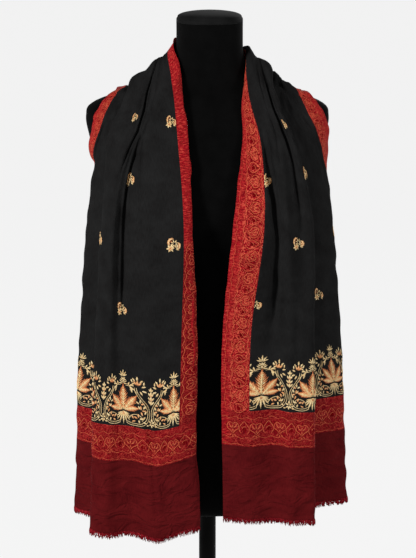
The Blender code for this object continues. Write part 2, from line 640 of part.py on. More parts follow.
def main():
    clear_scene()
    field_black = make_material("field_black", (0.010, 0.010, 0.011), 0.85, sheen=0.3)
    border_red = make_material("border_red", (0.36, 0.020, 0.022), 0.80, sheen=0.2)
    plain_maroon = make_material("plain_maroon", (0.090, 0.006, 0.008), 0.85, sheen=0.3)
    cover_black = make_material("cover_black", (0.003, 0.003, 0.003), 0.95)
    pole_steel = make_material("pole_steel", (0.012, 0.011, 0.010), 0.35, metallic=0.6)
    build_form(cover_black, pole_steel)
    build_shawl(field_black, border_red, plain_maroon)


main()
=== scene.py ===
import bpy
import bmesh
import math
import numpy as np
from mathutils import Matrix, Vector


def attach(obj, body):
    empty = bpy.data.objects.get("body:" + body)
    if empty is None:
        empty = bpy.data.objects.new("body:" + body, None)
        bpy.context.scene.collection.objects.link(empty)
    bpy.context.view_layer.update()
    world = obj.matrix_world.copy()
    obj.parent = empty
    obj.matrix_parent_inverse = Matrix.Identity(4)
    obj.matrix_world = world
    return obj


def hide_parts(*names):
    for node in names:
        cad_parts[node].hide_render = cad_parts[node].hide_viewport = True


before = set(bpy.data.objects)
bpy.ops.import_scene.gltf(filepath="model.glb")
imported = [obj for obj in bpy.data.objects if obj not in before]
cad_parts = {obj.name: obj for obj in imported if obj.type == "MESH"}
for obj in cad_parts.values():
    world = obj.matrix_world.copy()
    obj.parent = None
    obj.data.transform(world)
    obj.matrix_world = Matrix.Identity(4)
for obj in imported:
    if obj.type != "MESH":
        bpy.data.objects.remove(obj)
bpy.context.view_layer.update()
print("frame loaded:", len(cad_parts), "nodes")


# small tools for curves and meshes; the tables below hold mm where they say so

def toMetres(rows):
    return np.array(rows) / 1000.0


def curve(knots, values, places, free=False):  # free bends like a spline, else it never overshoots
    knots, values = np.asarray(knots, float), np.asarray(values, float)
    widths = np.diff(knots)[:, None]
    slopes = np.diff(values, axis=0) / widths
    before, after = slopes[:-1], slopes[1:]
    last, coming = widths[:-1], widths[1:]
    if free:
        inner = (before * coming + after * last) / (coming + last)
    else:
        agree = before * after > 0
        wide, narrow = 2 * coming + last, coming + 2 * last
        inner = (wide + narrow) / (wide / np.where(agree, before, 1.0) + narrow / np.where(agree, after, 1.0))
        inner = np.where(agree, inner, 0.0)
    tangents = np.concatenate((slopes[:1], inner, slopes[-1:]))
    places = np.clip(np.asarray(places, float), knots[0], knots[-1])
    cell = np.clip(np.searchsorted(knots, places, side="right") - 1, 0, len(knots) - 2)
    width = widths[cell]
    t = (places - knots[cell])[:, None] / width
    return ((2 * t ** 3 - 3 * t ** 2 + 1) * values[cell] + (t ** 3 - 2 * t ** 2 + t) * width * tangents[cell]
            + (3 * t ** 2 - 2 * t ** 3) * values[cell + 1] + (t ** 3 - t ** 2) * width * tangents[cell + 1])


def softStep(value):
    value = np.clip(value, 0.0, 1.0)
    return value * value * (3.0 - 2.0 * value)


def unit(vectors):
    return vectors / np.maximum(np.linalg.norm(vectors, axis=-1, keepdims=True), 1e-9)


def newPiece(name, mesh, *materials):
    piece = bpy.data.objects.new(name, mesh)
    bpy.context.scene.collection.objects.link(piece)
    for material in materials:
        mesh.materials.append(material)
    return piece


def newMesh(name, vertices, faces, manyParts=False):  # faces turned outward and shaded smooth
    mesh = bpy.data.meshes.new(name)
    mesh.from_pydata(vertices.tolist(), [], faces)
    work = bmesh.new()
    work.from_mesh(mesh)
    if manyParts:
        bmesh.ops.recalc_face_normals(work, faces=work.faces)
    elif work.calc_volume(signed=True) < 0:
        bmesh.ops.reverse_faces(work, faces=work.faces)
    work.to_mesh(mesh)
    work.free()
    mesh.shade_smooth()
    return mesh


# small tools for materials

def tint(*screen):                            # screen values, 0 to 255, as a scene colour
    shares = np.array(screen) / 255.0
    levels = np.where(shares <= 0.04045, shares / 12.92, ((shares + 0.055) / 1.055) ** 2.4)
    return (*levels.tolist(), 1.0)


def wire(tree, node, inputs):
    for key, value in inputs.items():
        if isinstance(value, bpy.types.NodeSocket):
            tree.links.new(value, node.inputs[key])
        else:
            node.inputs[key].default_value = value
    return node


def addNode(tree, kind, inputs=None, **settings):
    node = tree.nodes.new(kind)
    for key, value in settings.items():
        setattr(node, key, value)
    return wire(tree, node, inputs or {})


def startMaterial(name, roughness, sheen, specular):
    material = bpy.data.materials.new(name)
    material.use_nodes = True
    tree = material.node_tree
    shader = wire(tree, tree.nodes["Principled BSDF"],
                  {"Roughness": roughness, "Specular IOR Level": specular, "Sheen Weight": sheen,
                   "Sheen Roughness": 0.45})
    return material, tree, shader


def mixColour(tree, factor, first, second):
    return addNode(tree, "ShaderNodeMix", {0: factor, 6: first, 7: second}, data_type="RGBA").outputs[2]


def stepRange(tree, value, low, high, toLow=0.0, toHigh=1.0):
    node = addNode(tree, "ShaderNodeMapRange", {"Value": value, "From Min": low, "From Max": high,
                                                "To Min": toLow, "To Max": toHigh}, clamp=True)
    return node.outputs["Result"]


def overlay(tree, ground, colour, value, low, high, most=1.0):
    return mixColour(tree, stepRange(tree, value, low, high, 0.0, most), ground, colour)


def calculate(tree, operation, *values):
    return addNode(tree, "ShaderNodeMath", dict(enumerate(values)), operation=operation).outputs[0]


def times(tree, product, *others):
    for other in others:
        product = calculate(tree, "MULTIPLY", product, other)
    return product


def noise(tree, place, scale, detail, distortion=0.0):
    return addNode(tree, "ShaderNodeTexNoise", {"Vector": place, "Scale": scale, "Detail": detail,
                                                "Distortion": distortion}).outputs["Fac"]


def mapped(tree, place, turn=0.0, scale=(1.0, 1.0, 1.0)):
    return addNode(tree, "ShaderNodeMapping", {"Vector": place, "Rotation": (0.0, 0.0, turn),
                                               "Scale": scale}).outputs[0]


def bumped(tree, height, strength, distance, **under):
    return addNode(tree, "ShaderNodeBump", {"Height": height, "Strength": strength, "Distance": distance,
                                            **under}).outputs["Normal"]


def fineMaterial(name, darker, lighter, roughness, sheen, specular, mottle, grain):
    # mottle: scale, detail, where it begins and where it is full; grain: scale and strength
    material, tree, shader = startMaterial(name, roughness, sheen, specular)
    place = addNode(tree, "ShaderNodeTexCoord").outputs["Object"]
    scale, detail, low, high = mottle
    grainScale, strength = grain
    wire(tree, shader, {
        "Base Color": overlay(tree, darker, lighter, noise(tree, place, scale, detail), low, high),
        "Normal": bumped(tree, noise(tree, place, grainScale, 2.0), strength, 0.0002)})
    return material


# camera, light and floor

studio = {
    "cameraPlace": (0.001, -3.0, 1.632),
    "cameraTilt": 76.0,               # degrees up from straight down
    "lens": 125.0,
    "sky": 0.25,                      # light from all round
    "paper": 0.935,                   # the pale background as it is seen
    "floorHalf": 30.0,
    "floorZ": -0.0004,
    "floorColour": (0.06, 0.06, 0.06, 1.0),
    "floorGlow": 0.87,
    "white": (1.0, 1.0, 1.0, 1.0),
    # name, place, aim, width of the panel, power in watts
    "lamps": (
        ("keyLamp", (-2.3, -2.1, 1.9), (0.0, 0.0, 0.85), 0.8, 78.0),
        ("fillLamp", (2.7, -1.7, 1.7), (0.0, 0.0, 0.85), 1.0, 35.0),
        ("backLamp", (1.4, 2.4, 2.4), (0.0, 0.0, 0.9), 1.5, 24.0),
    ),
}


def setUpStudio():
    scene = bpy.context.scene
    scene.view_settings.view_transform = "Standard"
    camera = newPiece("viewCamera", bpy.data.cameras.new("viewCamera"))
    camera.data.lens = studio["lens"]
    camera.data.sensor_width = 36.0
    camera.data.clip_end = 200.0
    camera.location = studio["cameraPlace"]
    camera.rotation_euler = (math.radians(studio["cameraTilt"]), 0.0, 0.0)
    scene.camera = camera
    for name, place, aim, width, power in studio["lamps"]:
        lamp = newPiece(name, bpy.data.lights.new(name, "AREA"))
        lamp.data.shape = "DISK"
        lamp.data.size = width
        lamp.data.energy = power
        lamp.location = place
        lamp.rotation_euler = (Vector(aim) - Vector(place)).to_track_quat("-Z", "Y").to_euler()
    scene.world = bpy.data.worlds.new("studioWorld")
    scene.world.use_nodes = True
    tree = scene.world.node_tree
    glow = wire(tree, tree.nodes["Background"], {"Color": studio["white"], "Strength": studio["sky"]})
    seen = addNode(tree, "ShaderNodeBackground", {"Color": studio["white"], "Strength": studio["paper"]})
    ray = addNode(tree, "ShaderNodeLightPath")
    either = addNode(tree, "ShaderNodeMixShader",
                     {0: ray.outputs["Is Camera Ray"], 1: glow.outputs[0], 2: seen.outputs[0]})
    wire(tree, tree.nodes["World Output"], {"Surface": either.outputs[0]})
    half, z = studio["floorHalf"], studio["floorZ"]
    mesh = bpy.data.meshes.new("studioFloor")
    corners = [(-half, -half, z), (half, -half, z), (half, half, z), (-half, half, z)]
    mesh.from_pydata(corners, [], [(0, 1, 2, 3)])
    paper, tree, shader = startMaterial("floorPaper", 1.0, 0.0, 0.0)
    wire(tree, shader, {"Base Color": studio["floorColour"], "Emission Color": studio["white"],
                        "Emission Strength": studio["floorGlow"]})
    floor = newPiece("studioFloor", mesh, paper)
    floor.visible_diffuse = False
    print("studio set up")


setUpStudio()


# dress form: sections up the torso

form = {
    "exponent": 2.2,                  # between an ellipse and a box
    "capRise": 0.016,
    "capShoulder": 0.0062,
    "socketDepth": 0.120,
    "socketRadius": 0.0142,
    "seamGap": 0.0004,
    "sides": 128,
}
# mm: height, half width, half depth, middle of the depth, how far it leans to its left
formTable = toMetres((
    (509, 138, 83, 4, 0), (521, 143, 87, 4, 0), (600, 150, 92, 4, 0), (680, 148, 90, 3, 0),
    (780, 133, 83, 0, 0), (860, 120, 77, -4, 0), (940, 127, 83, -8, 0), (1010, 142, 98, -12, 0),
    (1050, 152, 96, -8, 0), (1090, 176, 83, -1, 0), (1120, 186, 74, 4, 0), (1148, 190, 63, 8, 0),
    (1162, 186, 52, 9, 0), (1172, 170, 47, 9, 0), (1181, 144, 45, 9, 0), (1190, 116, 46, 8, 0),
    (1199.5, 87, 48, 7, 0.6), (1211, 67, 49, 5, 1.8), (1227, 56.5, 50, 3, 2.8), (1246, 52.5, 50, 1, 3.4),
    (1274, 51.5, 50, 0, 3.5), (1294.5, 51.5, 50, 0, 3.5),
))


def formSections(heights):
    return curve(formTable[:, 0], formTable[:, 1:], heights, free=True)


def formDepth(x, height, towardBack, standOff):
    halfWidth, halfDepth, middle, _ = formSections([height])[0]
    across = min(abs(x) / (halfWidth + standOff), 1.0)
    reach = (halfDepth + standOff) * (1.0 - across ** form["exponent"]) ** (1.0 / form["exponent"])
    return middle + reach if towardBack else middle - reach


def formClearance(points):                    # distance out of the form, and the way straight out
    def reach(places):
        halfWidth, halfDepth, middle, lean = formSections(places[:, 2]).T
        x, y = places[:, 0] - lean, places[:, 1] - middle
        ratio = (np.abs(x / halfWidth) ** form["exponent"]
                 + np.abs(y / halfDepth) ** form["exponent"]) ** (1.0 / form["exponent"])
        return (1.0 - 1.0 / np.maximum(ratio, 0.05)) * np.hypot(x, y)

    step = 0.0005
    here = reach(points)
    slope = np.stack([(reach(points + step * axis) - here) / step for axis in np.eye(3)], axis=1)
    steep = np.maximum(np.linalg.norm(slope, axis=1), 0.3)
    return here / steep, slope / steep[:, None]


def holdClear(points, clearance):             # moves points straight out of the form until they clear it
    for _ in range(4):
        distance, way = formClearance(points)
        points = points + way * np.maximum(clearance - distance, 0.0)[:, None]
    return points


# shawl: lines that run its length, then the whole cloth as one grid

cloth = {
    "width": 0.700,
    "halfLength": 0.920,
    "sideBorder": 0.045,
    "bandTop": 0.743,                 # the end border runs from here to the plain end
    "plainTop": 0.800,
    "thickness": 0.0008,
    "foldRoll": 0.0035,
    "layerStep": 0.0048,
    "leastClearance": 0.0050,
    "barestClearance": 0.0022,        # after the creases
    "shoulderEase": 0.020,
    "sagPower": 2.1,
    "ridgeY": 0.006,
    "napeHeight": 1.262,
    "collarHeight": 1.130,
    "chestHeight": 1.040,
    "midHeight": 0.800,
    "lowHem": 0.503,
    "midFollow": 0.90,
    "shoulderSettle": 0.0085,
    "settleAlong": 0.160,
    "settleReach": 0.014,
    "settleAcross": 0.130,
    "settleFade": 0.05,
    "ridgeShare": 0.16,               # shares of a half length
    "collarShare": 0.315,
    "chestShare": 0.42,
    "midShare": 0.682,
    "backStations": (-0.30, 0.0, 0.30, 0.58, 0.82),
    "throatStations": (0.30, 0.62),
    "rows": (24, 30, 20, 60, 12, 26),  # to the ridge, collar, chest, end border, plain end and hem
    "columns": (6, 6, 10, 20, 14, 8, 3, 3, 14, 10, 2, 2, 8, 12, 6, 4, 8),
}
# mm: place across the cloth, drop below the nape, stand-off
backFold = toMetres((
    (0, 0, 6), (22, 10, 12), (45, 26, 18), (110, 85, 25), (200, 172, 17.5), (310, 112, 10), (420, 52, 7),
    (520, 112, 4), (600, 172, 5), (655, 210, 5), (700, 250, 7.5),
))
# name, 1 for a fold, layers under it, then mm: place across at the back, the ridge and the hem, stand-off,
# and the line's path over the ridge of the shoulder, the collar, the chest, the middle and the hem
lineColumns = ("name", "turn", "under", "back", "ridge", "end", "lift", "ridgeX", "ridgeZ", "bow", "collarX",
               "chestX", "chestY", "midX", "midY", "hemX", "hemY", "hemZ")


def readLines(rows):
    return [dict(zip(lineColumns, (*row[:3], *toMetres(row[3:])))) for row in rows]


leftLines = readLines((
    ("innerEdge", 0, -0.1, 0, 0, 0, 6, 50, 1266, -8, 43, 35, -115, 15, -123.5, 11, -128.5, 511.5),
    ("edgeRoll", 0, 0, 22, 26, 12, 12, 54.5, 1260, -2, 30.2, 23, -124, 12, -129, 20, -131, 510.5),
    ("innerSeam", 0, 0, 45, 45, 45, 18, 60.5, 1249, -1, 45.8, 37.5, -130, 40.5, -134, 50, -135, 503),
    ("innerCrest", 0, 1, 80, 90, 95, 20, 69, 1240.5, 0, 86, 85, -130, 86, -134, 80, -137, 495),
    ("mainTrough", 0, 2, 115, 135, 135, 15, 79, 1235, 0, 106.5, 124, -106, 127, -123.5, 124, -118, 500),
    ("outerCrest", 0, 2, 155, 170, 170, 20, 95, 1222.5, 0, 121, 138, -113, 150, -126, 160, -133, 502),
    ("frontFold", 1, 1.5, 200, 225, 203, 16, 117, 1203, 0, 152, 159, -89, 174.7, -113, 186, -117, 505),
    ("underMiddle", 0, 1, 310, 330, 280, 8.5, 102, 1206.5, 0, 125, 120, -93, 115, -112, 115, -116, 506),
    ("underFold", 1, 0.5, 420, 430, 353, 6.5, 90, 1208.5, 0, 70, 60, -112, 42, -108, 32, -112, 508),
    ("rearMiddle", 0, 0.2, 520, 520, 430, 3.8, 102, 1200, 0, 118, 118, -85, 112, -90, 112, -83, 506),
    ("rearOuter", 0, 0.2, 600, 600, 500, 3.8, 115, 1196, 0, 148, 156, -56, 167, -56, 176, -44, 501),
    ("sideTurn", 0, 0, 640, 640, 562, 3.8, 124, 1196, 0, 161, 181, -25, 203.2, -15, 217.8, -5, 499.5),
    ("outerSeam", 0, 0.5, 655, 655, 655, 4.5, 129.6, 1194, 6, 165, 182.5, -7, 195, 50, 200, 74, 503),
    ("outerEdge", 0, 0.5, 700, 700, 700, 6, 142.5, 1187.5, 11, 177.5, 175, 24, 176, 78, 178, 112, 508),
))
rightLines = readLines((
    ("innerEdge", 0, 0, 0, 0, 0, 6, 62, 1222, -5, 54.2, 44.2, -117, 23.3, -124, 24.9, -126, 527.5),
    ("edgeMiddle", 0, -0.1, 22, 22, 22, 11, 59.5, 1235, -4, 63, 64, -127, 44, -131, 45.5, -131, 527.5),
    ("innerSeam", 0, 0, 45, 45, 45, 18.5, 58.5, 1249, -5.5, 79.1, 86.8, -126, 66.4, -134, 68, -134, 526),
    ("innerTrough", 0, 1, 64, 62, 90, 20, 63.5, 1255, -3, 90.5, 101, -115, 104.5, -122, 106, -125, 525),
    ("innerCrest", 0, 2, 115, 95, 118, 20, 73.5, 1241.5, -3, 107, 118, -118, 130, -131, 134, -131, 523),
    ("pleatTrough", 0, 2, 155, 122, 136, 18.5, 81, 1234.5, -3, 121, 135, -104, 148, -127, 152, -127, 522),
    ("frontFold", 1, 1.5, 200, 150, 155, 19, 96, 1222, -3, 130.5, 155, -96, 165.5, -116, 170.5, -117, 520),
    ("underMiddle", 0, 1, 310, 245, 235, 11.5, 86.5, 1218.5, 0, 105, 120, -94, 110, -113, 108, -116, 521),
    ("underFold", 1, 0.5, 420, 360, 316, 7.5, 79, 1212.5, 0, 74, 64, -108, 44, -108, 42, -111, 523),
    ("rearMiddle", 0, 0.2, 520, 470, 390, 5, 103, 1219, 0, 122, 124, -81, 112, -88, 108, -83, 523),
    ("rearOuter", 0, 0.2, 600, 570, 470, 7, 114, 1208, 0, 147, 164, -56, 173, -54, 178, -40, 519),
    ("sideTurn", 0, 0, 640, 630, 531, 6.5, 125, 1200.5, 0, 160, 186, -32, 210.5, -14, 229, -2, 515),
    ("outerSeam", 0, 0.5, 655, 655, 655, 6, 132, 1196, 2, 167.7, 190, -18, 196, 60, 193, 96, 516),
    ("outerEdge", 0, 0.5, 700, 700, 700, 6, 149, 1187.5, 9, 187.5, 188, 18, 174, 96, 165, 128, 519),
))
ridge, collar = cloth["ridgeShare"], cloth["collarShare"]
stationShares = (*(share * ridge for share in cloth["backStations"]), ridge,
                 *(ridge + share * (collar - ridge) for share in cloth["throatStations"]),
                 collar, cloth["chestShare"], cloth["midShare"], 1.0)


def linePath(line):
    drop, backLift = curve(backFold[:, 0], backFold[:, 1:], [line["back"]])[0]
    middleZ = cloth["napeHeight"] - drop
    lift, ridgeX, ridgeZ = line["lift"], line["ridgeX"], line["ridgeZ"]
    ease = cloth["shoulderEase"] * line["under"]
    points = []
    for share in cloth["backStations"]:
        z = middleZ + (ridgeZ - middleZ) * abs(share) ** cloth["sagPower"]
        standOff = backLift + (lift - backLift) * abs(share) + ease * abs(share) * (1.0 - abs(share))
        points.append((share * ridgeX, formDepth(share * ridgeX, z, True, standOff), z))
    points.append((ridgeX, cloth["ridgeY"], ridgeZ))
    for share in (*cloth["throatStations"], 1.0):
        rounding = share * (1.0 - share)
        x = ridgeX + (line["collarX"] - ridgeX) * share + 4 * line["bow"] * rounding
        z = ridgeZ + (cloth["collarHeight"] - ridgeZ) * share
        points.append((x, formDepth(x, z, False, lift + ease * rounding), z))
    midZ = cloth["midHeight"] + cloth["midFollow"] * (line["hemZ"] - cloth["lowHem"])
    points.append((line["chestX"], line["chestY"], cloth["chestHeight"]))
    points.append((line["midX"], line["midY"], midZ))
    points.append((line["hemX"], line["hemY"], line["hemZ"]))
    return points


def layHalf(lines, side, shares):             # points and places across the cloth, a row for each share
    paths = np.stack([curve(stationShares, linePath(line), shares, free=True) for line in lines])
    places = np.stack([curve((0.0, ridge, 1.0), [[line[name]] for name in ("back", "ridge", "end")], shares)
                       for line in lines])[:, :, 0]
    ahead = unit(np.gradient(paths, axis=1))
    roll = cloth["foldRoll"]
    grid, across = [], []
    for station in range(len(shares)):
        knots, points, layers = [], [], []
        for index, line in enumerate(lines):
            here, place, under = paths[index, station], places[index, station], line["under"]
            if not line["turn"]:
                knots.append(place)
                points.append(here)
                layers.append(under)
                continue
            before = unit(paths[index - 1, station] - here)
            after = unit(paths[index + 1, station] - here)
            face = unit(np.cross(ahead[index, station], unit(before + after)))
            if face.dot(here - np.array([0.0, 0.0, here[2] - 0.06])) < 0:
                face = -face
            knots += [place - 1.5 * roll, place, place + 1.5 * roll]
            points += [here + roll * (before + face), here, here + roll * (after - face)]
            layers += [under + 0.5, under, under - 0.5]
        clear = cloth["leastClearance"] + cloth["layerStep"] * np.array(layers)
        cells = [np.linspace(knots[index], knots[index + 1], count, endpoint=False)
                 for index, count in enumerate(cloth["columns"])]
        cells = np.concatenate(cells + [knots[-1:]])
        least = curve(knots, clear[:, None], cells)[:, 0]
        grid.append(holdClear(curve(knots, points, cells) * (side, 1.0, 1.0), least))
        across.append(cells)
    return np.array(grid), np.array(across)


def faceNormals(grid):
    one = unit(np.cross(grid[1:, 1:] - grid[:-1, :-1], grid[:-1, 1:] - grid[1:, :-1]))
    total = np.zeros_like(grid)
    for rows in (slice(0, -1), slice(1, None)):
        for columns in (slice(0, -1), slice(1, None)):
            total[rows, columns] += one
    return unit(total)


# creases, mm: depth and half width (a ridge has a depth above 0), then its path as
# (place across, place along from the middle of the back)
creases = {
    "left": (
        (-7.5, 3.8, ((108, 135), (118, 160), (133, 182), (140.5, 205), (134, 238), (137, 284), (158, 320),
                     (169, 345), (176, 390))),
        (-6.8, 3.4, ((102, 240), (110, 279), (123, 297), (130, 320), (134.5, 348), (136.2, 376), (133.6, 423),
                     (132.7, 465), (135, 520), (141, 600))),
        (-2, 3.4, ((114, 262), (112.5, 300), (109, 350), (106, 400), (104, 480))),
        (-4.2, 13, ((146, 380), (147, 453), (146, 500), (148, 546), (150, 600), (150, 720))),
        (-3.6, 4.2, ((97, 640), (100.4, 693), (101.2, 716), (102, 740), (98, 800), (94, 920))),
        (2, 9, ((128, 640), (134, 720), (140, 860), (140, 940))),
        (-1.3, 5, ((86, 150), (97, 190), (101, 230), (98, 262))),
        (1.3, 6, ((184, 200), (190, 280), (192, 360), (188, 460))),
        (-1.1, 5, ((62, 210), (66, 300), (71, 400), (74, 520))),
        (-1.2, 6, ((186, 520), (182, 620), (178, 720), (172, 880))),
        (1.2, 8, ((80, 520), (80, 640), (82, 780), (84, 900))),
        (-5, 9, ((262, 240), (272, 420), (262, 640), (256, 880))),
        (4, 9, ((330, 260), (336, 420), (326, 640), (310, 860))),
        (-5, 9, ((470, 240), (480, 420), (470, 660), (455, 880))),
        (-4, 9, ((540, 300), (550, 420), (546, 600), (500, 860))),
        (1.8, 8, ((596, 240), (602, 420), (590, 640), (560, 880))),
        (-1.5, 7, ((628, 200), (636, 300), (640, 520), (634, 800))),
        (-13, 27, ((0, 340), (0, 520), (0, 780), (0, 915))),
    ),
    "right": (
        (-6.5, 3.8, ((100, 135), (119, 190), (113, 283), (126, 340), (128, 400), (126, 470))),
        (-7, 5.4, ((52, 250), (54, 334), (63, 389), (72, 452), (72, 545), (71, 660))),
        (-1.6, 5, ((84, 150), (93, 210), (94, 290), (88, 360))),
        (1.6, 7, ((92, 400), (98, 500), (100, 620), (98, 800))),
        (-1.5, 6, ((120, 520), (118, 640), (120, 760), (122, 880))),
        (-5, 9, ((200, 240), (212, 400), (204, 620), (198, 880))),
        (4, 9, ((270, 260), (276, 420), (266, 640), (256, 860))),
        (-5, 9, ((420, 240), (430, 400), (410, 640), (395, 880))),
        (-4, 9, ((510, 300), (520, 420), (506, 600), (450, 860))),
        (2, 8, ((580, 240), (590, 400), (568, 640), (520, 880))),
        (-1.5, 7, ((622, 200), (630, 320), (632, 540), (612, 820))),
    ),
    "back": (
        (-2.6, 9, ((78, -130), (70, -60), (66, 40), (74, 130))),
        (2.6, 10, ((150, -120), (158, -50), (152, 60), (144, 120))),
        (-5, 10, ((262, -130), (250, -60), (252, 60), (262, 130))),
        (-4.6, 9, ((360, -120), (352, -70), (350, 50), (344, 120))),
        (-5, 10, ((480, -110), (470, -80), (474, 50), (466, 110))),
        (2.4, 9, ((548, -110), (552, -60), (556, 70), (540, 110))),
        (-2.8, 9, ((618, -110), (626, -70), (620, 60), (612, 110))),
    ),
}
creaseShape = {"fadeIn": 0.22, "fadeOut": 0.30, "lip": 0.30, "lipPlace": 2.0, "uneven": 0.15,
               "wave": 31.0, "waveStep": 3.0, "shift": 1.7}
# soft gathers in hidden layers and behind the neck, mm: from and to across, wavelength, height,
# from and until along
gathers = (
    (245, 405, 34, 3, 260, 880),
    (30, 560, 41, 2.6, -85, 85),
)
gatherShape = {"fadeAcross": 0.03, "fadeAlong": 0.05, "sway": 1.1, "swayWave": 17.0, "swayStep": 40.0}
# short wrinkles, mm: place across, place along, turn in degrees, length, half width and height
wrinkles = (
    (80, -420, 38, 26, 3.4, 1), (88, -442, 48, 24, 3.2, -1), (70, -438, 30, 18, 3, 0.8),
    (118, 520, -8, 30, 3.4, 0.9), (96, 545, 6, 28, 3.4, -0.9), (112, 600, -4, 34, 3.6, 0.9),
    (90, 640, 10, 26, 3.4, -0.8), (60, -600, -6, 30, 3.8, 0.6), (70, -330, 70, 24, 3.4, 0.6),
    (50, 838, 28, 36, 4.4, 1.8), (76, 852, -22, 42, 4.6, -2), (104, 834, 16, 36, 4.2, 1.8),
    (128, 860, 36, 32, 4.4, -1.8), (92, 878, -8, 46, 5, 1.7), (54, 886, -34, 34, 4.4, -1.6),
    (118, 892, 22, 38, 4.8, 1.7), (26, 862, 54, 28, 4.2, 1.5), (143, 876, -48, 28, 4.2, 1.5),
    (66, 818, 4, 38, 4.2, -1.4), (60, -852, 8, 42, 5, -1.4), (112, -842, -16, 46, 5.4, 1.5),
    (152, -862, 8, 40, 5, -1.4), (88, -890, 4, 50, 5.2, 1.2), (24, -872, 60, 30, 4.4, 1.3),
    (180, -884, 74, 40, 4.4, 1.2), (36, -826, -12, 30, 4.2, 1.1), (250, -850, 16, 40, 5, 1.6),
    (420, -860, -20, 42, 5, 1.6), (560, -850, 14, 40, 4.6, -1.5), (620, -880, -24, 36, 4.4, 1.5),
    (300, 860, -16, 42, 5, 1.6), (470, 850, 22, 40, 4.8, -1.6), (560, 870, -12, 38, 4.6, 1.6),
    (630, 860, 30, 34, 4.4, -1.5), (300, -50, 30, 40, 4.6, 1.4), (420, 40, -26, 44, 4.8, -1.4),
    (540, -30, 40, 36, 4.4, 1.4), (190, 60, -34, 34, 4.2, 1.2),
)
wrinkleShape = {"bend": 0.004, "reach": 0.55}
ripples = {"seed": 7, "count": 9, "height": 0.00028, "shortest": 0.030, "longest": 0.110, "sway": 1.3,
           "swayWave": 23.0}


def creaseHeight(across, along, rows):
    total = np.zeros_like(across)
    for index, (depth, width, path) in enumerate(rows):
        path = toMetres(path)
        centre = np.interp(along, path[:, 1], path[:, 0])
        share = (along - path[0, 1]) / (path[-1, 1] - path[0, 1])
        fade = softStep(share / creaseShape["fadeIn"]) * softStep((1.0 - share) / creaseShape["fadeOut"])
        turns = creaseShape["wave"] + creaseShape["waveStep"] * index
        wave = np.sin(along * turns + creaseShape["shift"] * index)
        x = (across - centre) * 1000.0 / width
        section = np.exp(-x * x) - creaseShape["lip"] * np.exp(-(np.abs(x) - creaseShape["lipPlace"]) ** 2)
        total += depth / 1000.0 * fade * (1.0 + creaseShape["uneven"] * (wave - 1.0)) * section
    return total


def wrinkleHeight(across, along):
    total = np.zeros_like(across)
    for placeAcross, placeAlong, turn, length, width, height in wrinkles:
        c, s = math.cos(math.radians(turn)), math.sin(math.radians(turn))
        aside, ahead = across * 1000.0 - placeAcross, along * 1000.0 - placeAlong
        x = aside * c + ahead * s
        y = ahead * c - aside * s + wrinkleShape["bend"] * x * x
        total += height / 1000.0 * np.exp(-(y / width) ** 2 - (x / (wrinkleShape["reach"] * length)) ** 4)
    return total


def gatherHeight(across, along):
    total = np.zeros_like(across)
    softAcross, softAlong = gatherShape["fadeAcross"], gatherShape["fadeAlong"]
    for row in gathers:
        first, last, length, height, start, until = toMetres(row)
        way = np.abs(along) if start > 0 else along
        fade = softStep((across - first) / softAcross) * softStep((last - across) / softAcross)
        fade *= softStep((way - start) / softAlong) * softStep((until - way) / softAlong)
        sway = np.sin(along * gatherShape["swayWave"] + first * gatherShape["swayStep"])
        wave = across * 2.0 * math.pi / length + gatherShape["sway"] * sway
        total += height * fade * np.sin(wave)
    return total


def rippleHeight(across, along):
    chance = np.random.default_rng(ripples["seed"])
    total = np.zeros_like(across)
    for _ in range(ripples["count"]):
        length = chance.uniform(ripples["shortest"], ripples["longest"])
        turn = chance.uniform(0.0, math.pi)
        start = chance.uniform(0.0, 2 * math.pi)
        wave = (across * math.cos(turn) + along * math.sin(turn)) * 2 * math.pi / length + start
        sway = ripples["sway"] * np.sin(along * ripples["swayWave"] + start)
        total += ripples["height"] * np.sin(wave + sway)
    return total


def layCloth():
    stops = (0.0, ridge, collar, cloth["chestShare"], cloth["bandTop"] / cloth["halfLength"],
             cloth["plainTop"] / cloth["halfLength"], 1.0)
    shares = [np.linspace(stops[index], stops[index + 1], count, endpoint=False)
              for index, count in enumerate(cloth["rows"])]
    shares = np.concatenate(shares + [[1.0]])
    left, leftAcross = layHalf(leftLines, -1, shares)
    right, rightAcross = layHalf(rightLines, 1, shares)
    left[0] = right[0] = (left[0] + right[0]) / 2
    grid = np.concatenate((left[:0:-1], right))
    across = np.concatenate((leftAcross[:0:-1], rightAcross))
    along = np.concatenate((-shares[:0:-1], shares)) * cloth["halfLength"]
    along = np.repeat(along[:, None], across.shape[1], axis=1)
    height = rippleHeight(across, along) + wrinkleHeight(across, along) + gatherHeight(across, along)
    height += np.where(along < 0, creaseHeight(across, -along, creases["left"]), 0.0)
    height += np.where(along > 0, creaseHeight(across, along, creases["right"]), 0.0)
    height += creaseHeight(across, along, creases["back"])
    grid = grid + faceNormals(grid) * height[:, :, None]
    # the cloth settles on the shoulders
    over = np.exp(-((np.abs(along) - cloth["settleAlong"]) / cloth["settleReach"]) ** 2)
    over *= softStep((across - cloth["settleAcross"]) / cloth["settleFade"])
    grid[:, :, 2] -= cloth["shoulderSettle"] * over
    grid = holdClear(grid.reshape(-1, 3), cloth["barestClearance"]).reshape(grid.shape)
    return grid, faceNormals(grid), across, along


grid, normals, across, along = layCloth()
print("cloth laid:", grid.shape[0], "rows of", grid.shape[1], "points")


# cloth finishes, on the cloth's own map in mm

clothColours = {
    "field": (tint(24, 23, 23), tint(38, 38, 38)),
    "plain": (tint(80, 13, 17), tint(106, 25, 27)),
    "dark": tint(94, 2, 8),
    "red": tint(156, 10, 24),
    "lively": tint(180, 20, 34),
    "orange": tint(232, 100, 76),
    "weavePitch": 1.1,
}


def clothPlace(tree):
    read = addNode(tree, "ShaderNodeUVMap", uv_map="clothMap")
    return addNode(tree, "ShaderNodeVectorMath", {0: read.outputs["UV"], "Scale": 1000.0},
                   operation="SCALE").outputs[0]


